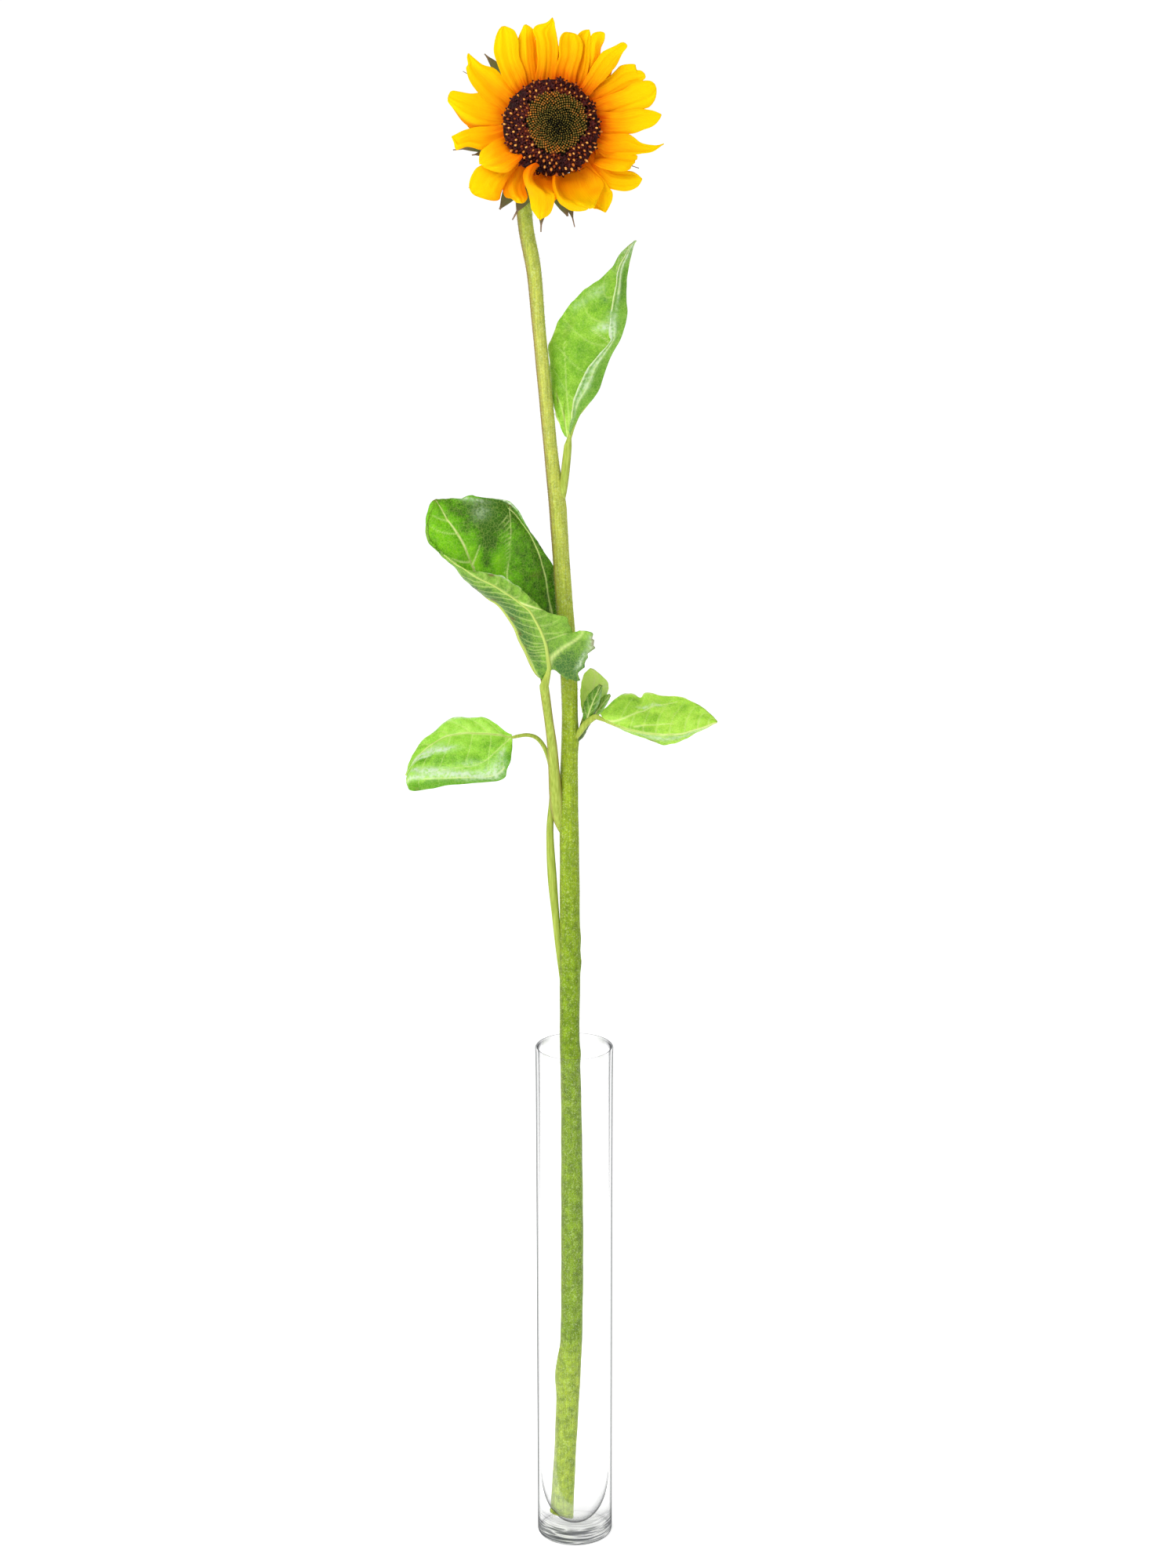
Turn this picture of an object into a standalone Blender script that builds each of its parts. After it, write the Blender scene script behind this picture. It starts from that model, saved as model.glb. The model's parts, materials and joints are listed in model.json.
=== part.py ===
"""A cut sunflower standing in a clear glass cylinder vase.

Metres, +Z up.  The origin is the middle of the vase's flat underside.  -Y is the side the
flower looks to.  Every petal, bract and leaf is a plate of its own, grown on the head or the stem.
"""
import math

import bmesh
import bpy
from mathutils import Vector

MM = 0.001

# the vase, mm
VASE_HEIGHT = 305.0
VASE_RADIUS = 22.0
VASE_WALL = 2.1
VASE_FLOOR = 12.0
VASE_BOWL = 16.0                  # radius of the rounded inner corner
VASE_BOWL_STEPS = 4
VASE_SIDES = 40

# the stem, mm: middle (x, y, z) and radius, from the cut foot to the neck under the head
STEM_LINE = [
    (-8.6, -4.0, 16.3, 7.5), (-6.2, -1.8, 48.0, 7.5), (-4.2, 0.4, 85.0, 7.4),
    (-2.4, 2.9, 123.0, 7.0), (-1.7, 5.8, 173.0, 6.8), (-1.9, 8.8, 223.0, 6.6),
    (-2.4, 11.4, 271.0, 6.2), (-2.9, 12.9, 305.0, 6.1), (-2.8, 14.2, 343.0, 6.2),
    (-3.0, 15.2, 400.0, 6.2), (-2.8, 15.0, 455.0, 5.7), (-2.9, 14.2, 497.0, 5.3),
    (-3.5, 13.0, 537.0, 5.2), (-6.0, 11.6, 577.0, 5.0), (-8.7, 10.0, 616.0, 4.9),
    (-12.0, 8.6, 645.0, 4.2), (-15.5, 7.2, 681.0, 4.0), (-19.2, 6.0, 719.0, 4.0),
    (-21.4, 6.6, 747.0, 4.4), (-24.6, 9.0, 770.0, 4.6), (-25.6, 13.0, 790.0, 4.7),
    (-22.6, 14.2, 806.0, 4.8), (-17.0, 8.4, 816.4, 5.0), (-13.2, -1.0, 821.6, 5.2),
    (-12.2, -9.1, 823.0, 5.6),
]
STEM_SIDES = 14
STEM_STEPS = 2                    # rings between two points of the line

# the flower head: its own frame has the middle of the disc's rim as origin
HEAD_AT = (-10.3, -27.0, 825.5)
HEAD_TURN = 6.0                   # degrees that the face turns to +X
HEAD_RAISE = 8.0                  # degrees that the face looks up
DISC_SIDES = 32

# ray petals: angle from +X, length, width, layer, lift, bend, curl at the end, side sweep
# (degrees and mm; layer 0 is the front one)
PETALS = [
    (5, 33.5, 11.6, 1, -2, 6, 0, 0.0), (12, 22.5, 12.0, 2, 0, 0, 0, 0.0),
    (19, 34.0, 14.0, 0, 0, 5, 0, 0.0), (32, 31.5, 14.0, 1, -2, 4, 0, 0.0),
    (48, 34.5, 10.0, 0, 3, 0, 0, 0.0), (54, 21.0, 7.5, 2, 0, 0, 0, 0.0),
    (61, 32.0, 9.0, 1, 2, 0, 0, 0.0), (69, 30.0, 9.0, 2, 0, 0, 0, 0.0),
    (80, 26.5, 16.0, 1, 0, 6, 0, 0.0), (91, 31.5, 12.0, 0, 2, 0, 0, 0.5),
    (98, 27.0, 10.0, 2, 0, 0, 0, 0.0), (104, 31.5, 9.5, 1, 0, 0, 0, 0.0),
    (116, 33.5, 14.0, 0, 2, -4, 0, 0.0), (139, 35.0, 12.5, 1, 0, 0, 0, 0.0),
    (151, 22.0, 12.0, 2, 0, 0, 0, 0.0), (163, 33.5, 16.0, 0, 2, 6, 0, 0.0),
    (175, 19.5, 12.0, 2, 0, 0, 0, 0.0), (188, 29.5, 11.5, 1, 0, 8, 0, 0.0),
    (204, 34.0, 15.0, 0, 14, 0, 150, 0.0), (223, 29.0, 19.0, 1, 4, 14, 0, 0.0),
    (247, 20.0, 11.0, 1, 4, 10, 0, 0.0), (260, 27.5, 11.5, 0, 16, 6, 0, 0.0),
    (270, 18.0, 10.0, 2, 0, 0, 0, 0.0), (286, 29.0, 19.0, 0, 12, 20, 60, 0.0),
    (300, 29.5, 15.0, 1, 4, 16, 0, 0.0), (314, 20.0, 12.0, 2, 0, 4, 0, 0.0),
    (328, 31.0, 12.5, 1, 2, 8, 0, 0.0), (339, 24.0, 8.0, 0, 12, 10, 40, 0.0),
    (349, 34.0, 10.0, 1, 2, 4, 0, -1.0),
]
PETAL_THICK = 0.6
PETAL_BASE = 5.0                  # width where a petal leaves the head
PETAL_START = 24.2                # radius where petals leave the head
PETAL_LAYERS = (-4.3, -6.6, -8.9)
PETAL_CUP = 0.08                  # how far a petal's sides rise, as a share of its half width
PETAL_TIP = 0.6                   # least half width, at the tip

# green bracts behind the petals: angle, radius of the bristle's tip, layer
BRACTS = [
    (15, 45, 0), (50, 44, 0), (92, 44, 0), (134, 52, 0), (148, 56, 1), (167, 46, 0),
    (186, 55, 0), (193, 56, 1), (202, 48, 0), (214, 57, 1), (236, 52, 0), (246, 54, 1),
    (262, 56, 0), (277, 48, 1), (284, 55, 0), (310, 46, 1), (334, 54, 0),
]
BRACT_WIDTH = 8.0
BRACT_THICK = 0.7
BRACT_LAYERS = ((-11.4, 23.2), (-13.6, 20.1))    # depth behind the rim, radius of the foot
BRACT_LEAN = 0.16                 # how far a bract leans back, as a share of its length
# a bract's outline: place along it, half width as a share of the widest
BRACT_OUTLINE = ((0, 0.6), (0.2, 0.95), (0.4, 0.9), (0.58, 0.45), (0.72, 0.16), (1, 0.1))

# leaves, mm: every row runs across the blade, and the rows go from the stalk to the tip
LEAF_THICK = 0.8
LEAF_FOOT_THICK = 1.6             # where the blade leaves its stalk
STALK_ROUND = 0.9                 # a stalk's thickness as a share of its width
STALK_EDGE = 0.12                 # a stalk's thinness at its edges, squared
FLAT_STALK = 2.0                  # thickness of a stalk that is a flat strip
UPPER_LEAF_STALK = [((-3.3, 7.2, 624), 3.4), ((-2.9, 6.0, 640), 3.6), ((-2.4, 5.4, 654), 3.4)]
UPPER_LEAF = [
    [(-4, 8, 665), (-1.5, 7.4, 664.5), (1, 6.4, 664), (2.4, 4.8, 664), (1.8, 3.2, 665), (0.2, 2.2, 666)],
    [(-9, 9, 675), (-4, 7, 673), (1, 5, 671), (6, 2, 669), (4.5, 0, 672), (0, -1, 675)],
    [(-12, 12, 689), (-3, 8, 687), (6, 5, 686), (13, 2, 686), (10, -2, 687), (4, -3, 688)],
    [(-12, 13, 704), (-1, 9, 702), (11, 5, 701), (21, 2, 700), (18, -2.4, 701), (11, -3.4, 701)],
    [(-9, 12, 720), (4, 8, 718), (17, 4, 716), (28, 2, 714), (26, -2, 716), (22, -3, 717)],
    [(2, 9, 732), (12, 6, 731), (21, 3, 730), (28, 1, 730), (24, -3, 730), (19, -4, 730)],
    [(13, 6, 744), (20, 4, 743), (25, 2, 743), (30, 0, 742), (26, -3, 743), (22, -4, 744)],
    [(22, 3, 756), (25, 1.5, 755), (28, 0, 755), (31, -1, 754), (30, -3.5, 755), (27, -4, 755)],
    [(31, 0, 763), (32, -0.5, 763.5), (33, -1, 764), (34, -1.5, 764), (33.8, -2.4, 764), (33, -3, 763.8)],
]
BIG_LEAF_STALK = [
    ((-11.2, 10.2, 440), 3.2), ((-10.0, 9.8, 452), 6.0), ((-10.4, 9.0, 465), 5.6),
    ((-11.6, 6.0, 480), 5.2), ((-13.4, 2.0, 497), 4.6), ((-15.0, -3.0, 513), 4.8),
    ((-15.6, -6.2, 524), 5.2),
]
BIG_LEAF = [
    [(-3, -9, 523), (-7, -10, 527), (-14, -9, 531), (-17, -6, 532), (-15.5, -3, 532), (-12, -2, 533)],
    [(9, -10, 536), (-2, -12, 540), (-22, -11, 536), (-21, -4, 539), (-17, 1, 541), (-13, 4, 544)],
    [(1, -12, 550), (-11, -15, 553), (-30, -11, 552), (-27, -2, 555), (-22, 7, 557), (-13, 18, 559)],
    [(-9, -15, 563), (-22, -17, 565), (-38, -11, 563), (-35, -1, 567), (-26, 9, 571), (-11, 20, 574)],
    [(-22, -17, 573), (-32, -18, 574), (-48, -10, 571), (-45, 0, 575), (-33, 9, 580), (-14, 19, 587)],
    [(-35, -17, 582), (-43, -18, 581), (-57, -10, 578), (-52, 0, 582), (-41, 9, 590), (-23, 16, 605)],
    [(-46, -14, 587), (-53, -15, 585), (-64, -9, 585), (-58, -1, 589), (-48, 8, 599), (-32, 14, 617)],
    [(-60, -13, 589), (-64, -12, 588), (-70, -8, 591), (-62, -1, 598), (-53, 6, 608), (-44, 11, 622)],
    [(-73.5, -10, 596), (-75.5, -8.6, 596), (-77, -6, 598), (-67, -2, 606), (-60, 3, 614), (-54, 7, 624)],
    [(-79, -8.2, 605), (-79.6, -6.8, 607), (-79, -5, 610), (-72, -2, 614), (-67, 1, 618), (-63, 4, 624)],
    [(-78, -5, 620), (-77.4, -4.6, 621), (-76.8, -4.2, 622), (-76, -3.8, 623), (-75, -3.4, 624),
     (-74, -3, 625)],
]
RIGHT_LEAF_STALK = [((4.6, 9.6, 485), 3.0), ((7.5, 8.4, 492), 3.2), ((12, 6.8, 497), 3.2)]
RIGHT_LEAF = [
    [(17, 8, 501.5), (17.5, 7, 500), (18, 6, 498.5), (18, 5.5, 497), (17.5, 5, 495.5)],
    [(24, 13, 509), (26, 8, 503), (28, 2, 496), (26, 3, 493.5), (25, 5.5, 491)],
    [(35, 16, 511), (36, 10, 503), (38, 1, 493), (37, 3, 490), (36, 7, 487.5)],
    [(46, 17, 509), (47, 10, 502), (49, 0, 492), (48, 2, 488.5), (46, 6, 485)],
    [(57, 16, 508), (58, 9, 501), (59, -1, 492), (58, 1, 488), (56, 5, 484)],
    [(67, 13, 506), (68, 7, 500), (69, -1, 495), (68, 0.5, 491), (66, 3.5, 488)],
    [(75, 8, 502), (75, 5, 499.5), (76, 0, 497.5), (75, 0.5, 495), (74, 2, 493)],
    [(80, 2, 500), (80.3, 1.6, 499), (80.6, 1.2, 498), (80.6, 1, 497), (80.4, 1, 496)],
]
LEFT_LEAF_STALK = [
    ((-10.4, 15.2, 350), 1.8), ((-12.2, 15.8, 372), 3.2), ((-13.2, 16.0, 394), 4.0),
    ((-14.9, 16.6, 416), 4.2), ((-15.8, 17.2, 438), 3.8), ((-16.0, 17.4, 458), 3.2),
    ((-16.4, 16.0, 474), 2.8), ((-19.4, 12.4, 486), 2.4), ((-26.0, 7.0, 490), 2.4),
]
LEFT_LEAF = [
    [(-34, 4, 491), (-34, 3.5, 490), (-34, 3, 489), (-34, 2.5, 488), (-34, 2, 487)],
    [(-38, 8, 494), (-40, 5, 491), (-40, 0, 484), (-38, -3, 479), (-36, -5, 474)],
    [(-45, 10, 496), (-47, 5, 490), (-46, -3, 481), (-43, -7, 474), (-39, -10, 469)],
    [(-54, 12, 498), (-56, 6, 490), (-56, -4, 480), (-53, -10, 472), (-49, -13, 466)],
    [(-63, 13, 498), (-66, 6, 489), (-67, -5, 479), (-65, -12, 471), (-60, -15, 465)],
    [(-73, 13, 494), (-77, 5, 485), (-77, -5, 477), (-76, -12, 470), (-72, -15, 464)],
    [(-82, 11, 486), (-85, 3, 479), (-86, -5, 473), (-84, -11, 468), (-81, -14, 463)],
    [(-90, 7, 478), (-91, 1, 474), (-91, -5, 470), (-90, -9, 466), (-88, -12, 461)],
    [(-93, 1, 472), (-93.4, -1, 470), (-93.6, -3, 468), (-93.4, -5, 466), (-93, -7, 464)],
]

# the young side shoot on the right of the stem, mm
SHOOT_BUD = [
    (4.4, 14.0, 487.0, 1.3), (6.6, 13.6, 492.0, 1.5), (8.4, 13.2, 497.0, 2.6),
    (9.0, 13.0, 502.0, 3.3), (9.4, 13.0, 506.0, 2.4), (9.6, 13.0, 509.0, 0.8),
]
SHOOT_BACK_STALK = [((3.1, 17.6, 489), 2.0), ((5.0, 19.8, 493), 2.0)]
SHOOT_BACK_LEAF = [
    [(5, 22, 498), (6.5, 21.5, 497.5), (8, 21, 497)],
    [(4, 24, 505), (10, 22.5, 505), (15, 21, 504)],
    [(4, 25, 512), (11, 23, 513), (19, 21.5, 510)],
    [(6, 25, 519), (12, 23.5, 518), (19, 22, 516)],
    [(9, 24, 523), (10.5, 23.6, 522.5), (12, 23.2, 522)],
]
SHOOT_FRONT_LEAF = [
    [(5.6, 10.6, 495), (6.8, 10.0, 494.6), (8, 10.4, 494.2)],
    [(5.5, 8.4, 503), (8.6, 7.2, 502), (11, 8.4, 501)],
    [(8, 7.4, 511), (11.5, 6.0, 510), (14, 7.4, 508)],
    [(14, 7.2, 518), (15, 7.0, 517.6), (16, 7.2, 517)],
]
SHOOT_FOOT_THICK = 1.0            # of the two small leaves without a stalk
SHOOT_SIDE_LEAF = [
    [(10.4, 16.0, 498.4), (10.8, 15.9, 497.4), (11.2, 16.0, 496.4)],
    [(13, 17.4, 504), (14, 15.8, 501.5), (15, 17.2, 499)],
    [(17, 18.4, 508), (17.6, 17.2, 506), (18.2, 18.2, 504)],
    [(20, 18.6, 509.6), (20.3, 18.4, 509), (20.6, 18.6, 508.2)],
]


def clear_scene():
    for old in list(bpy.data.objects):
        bpy.data.objects.remove(old, do_unlink=True)


def linear(value):
    value = value / 255.0
    return value / 12.92 if value <= 0.04045 else ((value + 0.055) / 1.055) ** 2.4


def make_material(name, colour, roughness, metallic=0.0):
    """A Principled material from an sRGB hex colour."""
    mat = bpy.data.materials.new(name)
    mat.use_nodes = True
    shader = mat.node_tree.nodes["Principled BSDF"]
    rgb = [linear(int(colour[i:i + 2], 16)) for i in (0, 2, 4)]
    shader.inputs["Base Color"].default_value = (rgb[0], rgb[1], rgb[2], 1.0)
    shader.inputs["Roughness"].default_value = roughness
    shader.inputs["Metallic"].default_value = metallic
    return mat


def add_object(name, bm, mat):
    """Turns a bmesh in millimetres into an object in metres, with its normals out."""
    bmesh.ops.recalc_face_normals(bm, faces=bm.faces)
    if bm.calc_volume(signed=True) < 0:
        bmesh.ops.reverse_faces(bm, faces=bm.faces)
    bmesh.ops.scale(bm, vec=(MM, MM, MM), verts=bm.verts)
    mesh = bpy.data.meshes.new(name)
    bm.to_mesh(mesh)
    bm.free()
    mesh.shade_smooth()
    mesh.set_sharp_from_angle(angle=math.radians(40))
    mesh.materials.append(mat)
    obj = bpy.data.objects.new(name, mesh)
    bpy.context.collection.objects.link(obj)
    return obj


def skin_rings(bm, rings, cap_first=True, cap_last=True):
    """Joins closed rings of vertices with quads, and caps the ends with fans."""
    for low, high in zip(rings, rings[1:]):
        count = len(low)
        for i in range(count):
            j = (i + 1) % count
            bm.faces.new((low[i], low[j], high[j], high[i]))
    for ring, wanted in ((rings[0], cap_first), (rings[-1], cap_last)):
        if not wanted:
            continue
        middle = bm.verts.new(sum((v.co for v in ring), Vector()) / len(ring))
        for i, vert in enumerate(ring):
            bm.faces.new((vert, ring[(i + 1) % len(ring)], middle))


def turned(name, profile, sides, mat, place=lambda r, a, h: (r * math.cos(a), r * math.sin(a), h)):
    """A turned solid: profile is (radius, height) and starts and ends on the axis."""
    bm = bmesh.new()
    first = bm.verts.new(place(0.0, 0.0, profile[0][1]))
    last = bm.verts.new(place(0.0, 0.0, profile[-1][1]))
    rings = []
    for radius, height in profile[1:-1]:
        angles = [2 * math.pi * i / sides for i in range(sides)]
        rings.append([bm.verts.new(place(radius, a, height)) for a in angles])
    skin_rings(bm, rings, False, False)
    for i in range(sides):
        j = (i + 1) % sides
        bm.faces.new((rings[0][i], rings[0][j], first))
        bm.faces.new((rings[-1][i], rings[-1][j], last))
    return add_object(name, bm, mat)


def spline(points, steps):
    """A Catmull-Rom curve through tuples of numbers, with steps intervals per span."""
    ends = [points[0]] + list(points) + [points[-1]]
    out = []
    for a, b, c, d in zip(ends, ends[1:], ends[2:], ends[3:]):
        for k in range(steps):
            t = k / steps
            out.append(tuple(
                0.5 * (2 * q + (r - p) * t + (2 * p - 5 * q + 4 * r - s) * t * t
                       + (3 * q - p - 3 * r + s) * t ** 3)
                for p, q, r, s in zip(a, b, c, d)))
    out.append(tuple(points[-1]))
    return out


def rod(name, line, sides, mat, reshape=None):
    """A round rod along (x, y, z, radius) points; reshape may move a ring's points."""
    bm = bmesh.new()
    centres = [Vector(p[:3]) for p in line]
    side = Vector((1, 0, 0))
    rings = []
    for k, centre in enumerate(centres):
        ahead = centres[min(k + 1, len(centres) - 1)] - centres[max(k - 1, 0)]
        ahead.normalize()
        side = (side - ahead * side.dot(ahead)).normalized()
        other = ahead.cross(side)
        ring = []
        for i in range(sides):
            a = 2 * math.pi * i / sides
            point = centre + line[k][3] * (math.cos(a) * side + math.sin(a) * other)
            if reshape:
                point = reshape(k, point)
            ring.append(bm.verts.new(point))
        rings.append(ring)
    skin_rings(bm, rings)
    return add_object(name, bm, mat)


def plate(name, rows, thick, mat, stalk_rows=0):
    """A solid plate on a grid of points; its first stalk_rows rows are round like a stalk."""
    bm = bmesh.new()
    grid = [[Vector(p) for p in row] for row in rows]
    count, across = len(grid), len(grid[0])
    top, low = [], []
    for u in range(count):
        top_row, low_row = [], []
        for v in range(across):
            along = grid[min(u + 1, count - 1)][v] - grid[max(u - 1, 0)][v]
            over = grid[u][min(v + 1, across - 1)] - grid[u][max(v - 1, 0)]
            normal = along.cross(over).normalized()
            half = thick[u] / 2
            if u < stalk_rows:
                place = 2 * v / (across - 1) - 1
                half *= math.sqrt(max(STALK_EDGE, 1 - place * place))
            top_row.append(bm.verts.new(grid[u][v] + normal * half))
            low_row.append(bm.verts.new(grid[u][v] - normal * half))
        top.append(top_row)
        low.append(low_row)
    # both sides are split along the same diagonals, so that a twisted blade never cuts itself
    for u in range(count - 1):
        for v in range(across - 1):
            first = grid[u][v] - grid[u + 1][v + 1]
            second = grid[u][v + 1] - grid[u + 1][v]
            if first.length < second.length:
                halves = (((0, 0), (1, 0), (1, 1)), ((0, 0), (1, 1), (0, 1)))
            else:
                halves = (((0, 0), (1, 0), (0, 1)), ((1, 0), (1, 1), (0, 1)))
            for half in halves:
                bm.faces.new([top[u + a][v + b] for a, b in half])
                bm.faces.new([low[u + a][v + b] for a, b in reversed(half)])
        for v in (0, across - 1):
            bm.faces.new((top[u][v], top[u + 1][v], low[u + 1][v], low[u][v]))
    for t, l in ((top[0], low[0]), (top[-1], low[-1])):
        for v in range(across - 1):
            bm.faces.new((t[v], t[v + 1], l[v + 1], l[v]))
    return add_object(name, bm, mat)


def stalk(line, first, last, across):
    """Rows for a leaf stalk, turning from its first to its last crossways direction."""
    rows, thick = [], []
    centres = [Vector(centre) for centre, width in line]
    for k, (centre, width) in enumerate(line):
        ahead = centres[min(k + 1, len(line) - 1)] - centres[max(k - 1, 0)]
        ahead.normalize()
        over = Vector(first).lerp(Vector(last), k / (len(line) - 1))
        over = (over - ahead * over.dot(ahead)).normalized()
        steps = [(2 * v / (across - 1) - 1) * width / 2 for v in range(across)]
        rows.append([centres[k] + over * s for s in steps])
        thick.append(width * STALK_ROUND)
    return rows, thick


def leaf(name, line, turns, blade, mat, flat=False):
    rows, thick = stalk(line, turns[0], turns[1], len(blade[0]))
    if flat:
        thick = [min(t, FLAT_STALK) for t in thick]
    stalk_count = len(rows)
    thick += [LEAF_FOOT_THICK] + [LEAF_THICK] * (len(blade) - 1)
    return plate(name, rows + blade, thick, mat, stalk_count)


# ---- the head's own frame: out is the way the flower looks, right and up span the disc ----
turn, lift = math.radians(HEAD_TURN), math.radians(HEAD_RAISE)
OUT = Vector((math.sin(turn) * math.cos(lift), -math.cos(turn) * math.cos(lift), math.sin(lift)))
RIGHT = Vector((math.cos(turn), math.sin(turn), 0.0))
UP = RIGHT.cross(OUT) * -1.0


def in_head(radius, angle, depth):
    """A point of the head: radius and angle in the disc's plane, depth to the front."""
    flat = RIGHT * math.cos(angle) + UP * math.sin(angle)
    return Vector(HEAD_AT) + flat * radius + OUT * depth


def smooth_step(low, high, value):
    t = min(1.0, max(0.0, (value - low) / (high - low)))
    return t * t * (3 - 2 * t)


def petal_rows(spec, steps, across):
    """Rows of points of one petal, from the head to the tip."""
    angle, length, width, layer, rise, bend, curl, sweep = spec
    angle = math.radians(angle)
    flat = RIGHT * math.cos(angle) + UP * math.sin(angle)
    side = UP * math.cos(angle) - RIGHT * math.sin(angle)
    radius, depth = PETAL_START, PETAL_LAYERS[layer]
    rows = []
    for k in range(steps + 1):
        s = k / steps
        tilt = math.radians(rise - 3 * layer + bend * s + curl * smooth_step(0.5, 1.0, s))
        if k:
            radius += length / steps * math.cos(tilt)
            depth += length / steps * math.sin(tilt)
        normal = OUT * math.cos(tilt) - flat * math.sin(tilt)
        if s < 0.5:
            share = PETAL_BASE / width
            half = share + (1 - share) * smooth_step(0.0, 0.5, s)
        else:
            half = 1 - ((s - 0.5) / 0.5) ** 2.2
        half = max(PETAL_TIP, half * width / 2)
        middle = Vector(HEAD_AT) + flat * radius + OUT * depth + side * sweep * s * s
        row = []
        for j in range(across):
            v = 2 * j / (across - 1) - 1
            row.append(middle + side * half * v + normal * PETAL_CUP * half * v * v)
        rows.append(row)
    return rows


def bract_rows(angle, tip, layer):
    """Rows of points of one bract: an egg-shaped foot that runs out in a long bristle."""
    depth, radius = BRACT_LAYERS[layer]
    angle = math.radians(angle)
    side = UP * math.cos(angle) - RIGHT * math.sin(angle)
    length = tip - radius
    rows = []
    for s, half in BRACT_OUTLINE:
        middle = in_head(radius + length * s, angle, depth - BRACT_LEAN * length * s)
        half *= BRACT_WIDTH / 2
        rows.append([middle + side * half * v for v in (-1, 0, 1)])
    return rows


clear_scene()

# ---- vase: clear pressed glass, a straight cylinder with a thick foot and a rounded well ----
inner = VASE_RADIUS - VASE_WALL
well = [(0.0, VASE_FLOOR)]
for k in range(VASE_BOWL_STEPS + 1):
    a = math.radians(90 - 90 * k / VASE_BOWL_STEPS)
    well.append((inner - VASE_BOWL + VASE_BOWL * math.cos(a),
                 VASE_FLOOR + VASE_BOWL - VASE_BOWL * math.sin(a)))
vase_profile = [(0.0, 0.0), (VASE_RADIUS - 1.5, 0.0), (VASE_RADIUS, 1.5),
                (VASE_RADIUS, VASE_HEIGHT - 1.0), (VASE_RADIUS - 0.4, VASE_HEIGHT - 0.2),
                (VASE_RADIUS - 1.0, VASE_HEIGHT), (inner + 0.4, VASE_HEIGHT - 0.2),
                (inner, VASE_HEIGHT - 1.0)] + well[::-1]
glass = make_material("clear_glass", "EEF4F3", 0.03)
turned("glass_vase", vase_profile, VASE_SIDES, glass)

# ---- stem: one green rod from the slanting cut in the well to the bent neck ----
stem_green = make_material("stem_green", "8DA93C", 0.6)


def cut_foot(k, point):
    """The foot is cut on a slant, so that it sits on the rounded well."""
    if k == 0:
        axis = Vector(STEM_LINE[0][:3])
        slope = (axis.x - point.x) * 0.42 + (axis.y - point.y) * 0.22
        return Vector((point.x, point.y, axis.z + slope))
    return point


rod("stem", spline(STEM_LINE, STEM_STEPS), STEM_SIDES, stem_green, cut_foot)

# ---- head: a green cup that carries everything, and the dome of florets in front ----
cup_green = make_material("cup_green", "7F9A3A", 0.6)
turned("receptacle", [(0, -17.6), (7, -17.4), (11, -16.4), (17, -14.6), (21.6, -12.0),
                      (23.6, -9.8), (23.6, -4.0), (23.0, -3.5), (0, -3.5)], 28, cup_green, in_head)
floret_brown = make_material("floret_brown", "4A2015", 0.8)
turned("disc", [(0, -3.0), (24.6, -3.0), (26.0, -1.5), (26.2, 0.5), (25.2, 2.8), (22.5, 4.6),
                (18, 5.4), (12, 5.2), (6, 4.4), (0, 4.0)], DISC_SIDES, floret_brown, in_head)

# ---- ray petals: thin yellow plates in three layers around the disc ----
petal_yellow = make_material("petal_yellow", "FEBE02", 0.5)
for number, spec in enumerate(PETALS, 1):
    rows = petal_rows(spec, 8 if spec[6] else 6, 3)
    plate("petal_%02d" % number, rows, [PETAL_THICK] * len(rows), petal_yellow)

# ---- bracts: green pointed scales behind the petals ----
bract_green = make_material("bract_green", "75833F", 0.65)
for number, (angle, tip, layer) in enumerate(BRACTS, 1):
    rows = bract_rows(angle, tip, layer)
    plate("bract_%02d" % number, rows, [BRACT_THICK] * len(rows), bract_green)

# ---- leaves: stalk and blade grow as one piece ----
leaf_green = make_material("leaf_green", "7DB52C", 0.5)
leaf("leaf_upper_right", UPPER_LEAF_STALK, ((0, -1, 0), (0, -1, 0)), UPPER_LEAF, leaf_green)
leaf("leaf_large_left", BIG_LEAF_STALK, ((0.15, 1, 0), (0.15, 1, 0)), BIG_LEAF, leaf_green)
leaf("leaf_right", RIGHT_LEAF_STALK, ((0.4, 0, -1), (0, -0.4, -1)), RIGHT_LEAF, leaf_green)
leaf("leaf_low_left", LEFT_LEAF_STALK, ((-1, 0, 0), (0, -0.4, -0.9)), LEFT_LEAF, leaf_green, flat=True)

# ---- side shoot: a hairy bud and three young leaves ----
shoot_green = make_material("shoot_green", "6E8F3A", 0.6)
rod("shoot_bud", spline(SHOOT_BUD, 2), 10, shoot_green)
leaf("shoot_leaf_back", SHOOT_BACK_STALK, ((1, -0.2, 0), (1, -0.2, 0)), SHOOT_BACK_LEAF, leaf_green)
plate("shoot_leaf_front", SHOOT_FRONT_LEAF, [SHOOT_FOOT_THICK] + [LEAF_THICK] * 3, shoot_green)
plate("shoot_leaf_side", SHOOT_SIDE_LEAF, [SHOOT_FOOT_THICK] + [LEAF_THICK] * 3, shoot_green)
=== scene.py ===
"""The looks of a cut sunflower standing in a clear glass cylinder vase."""
import json
import math
import random
from functools import partial

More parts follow.
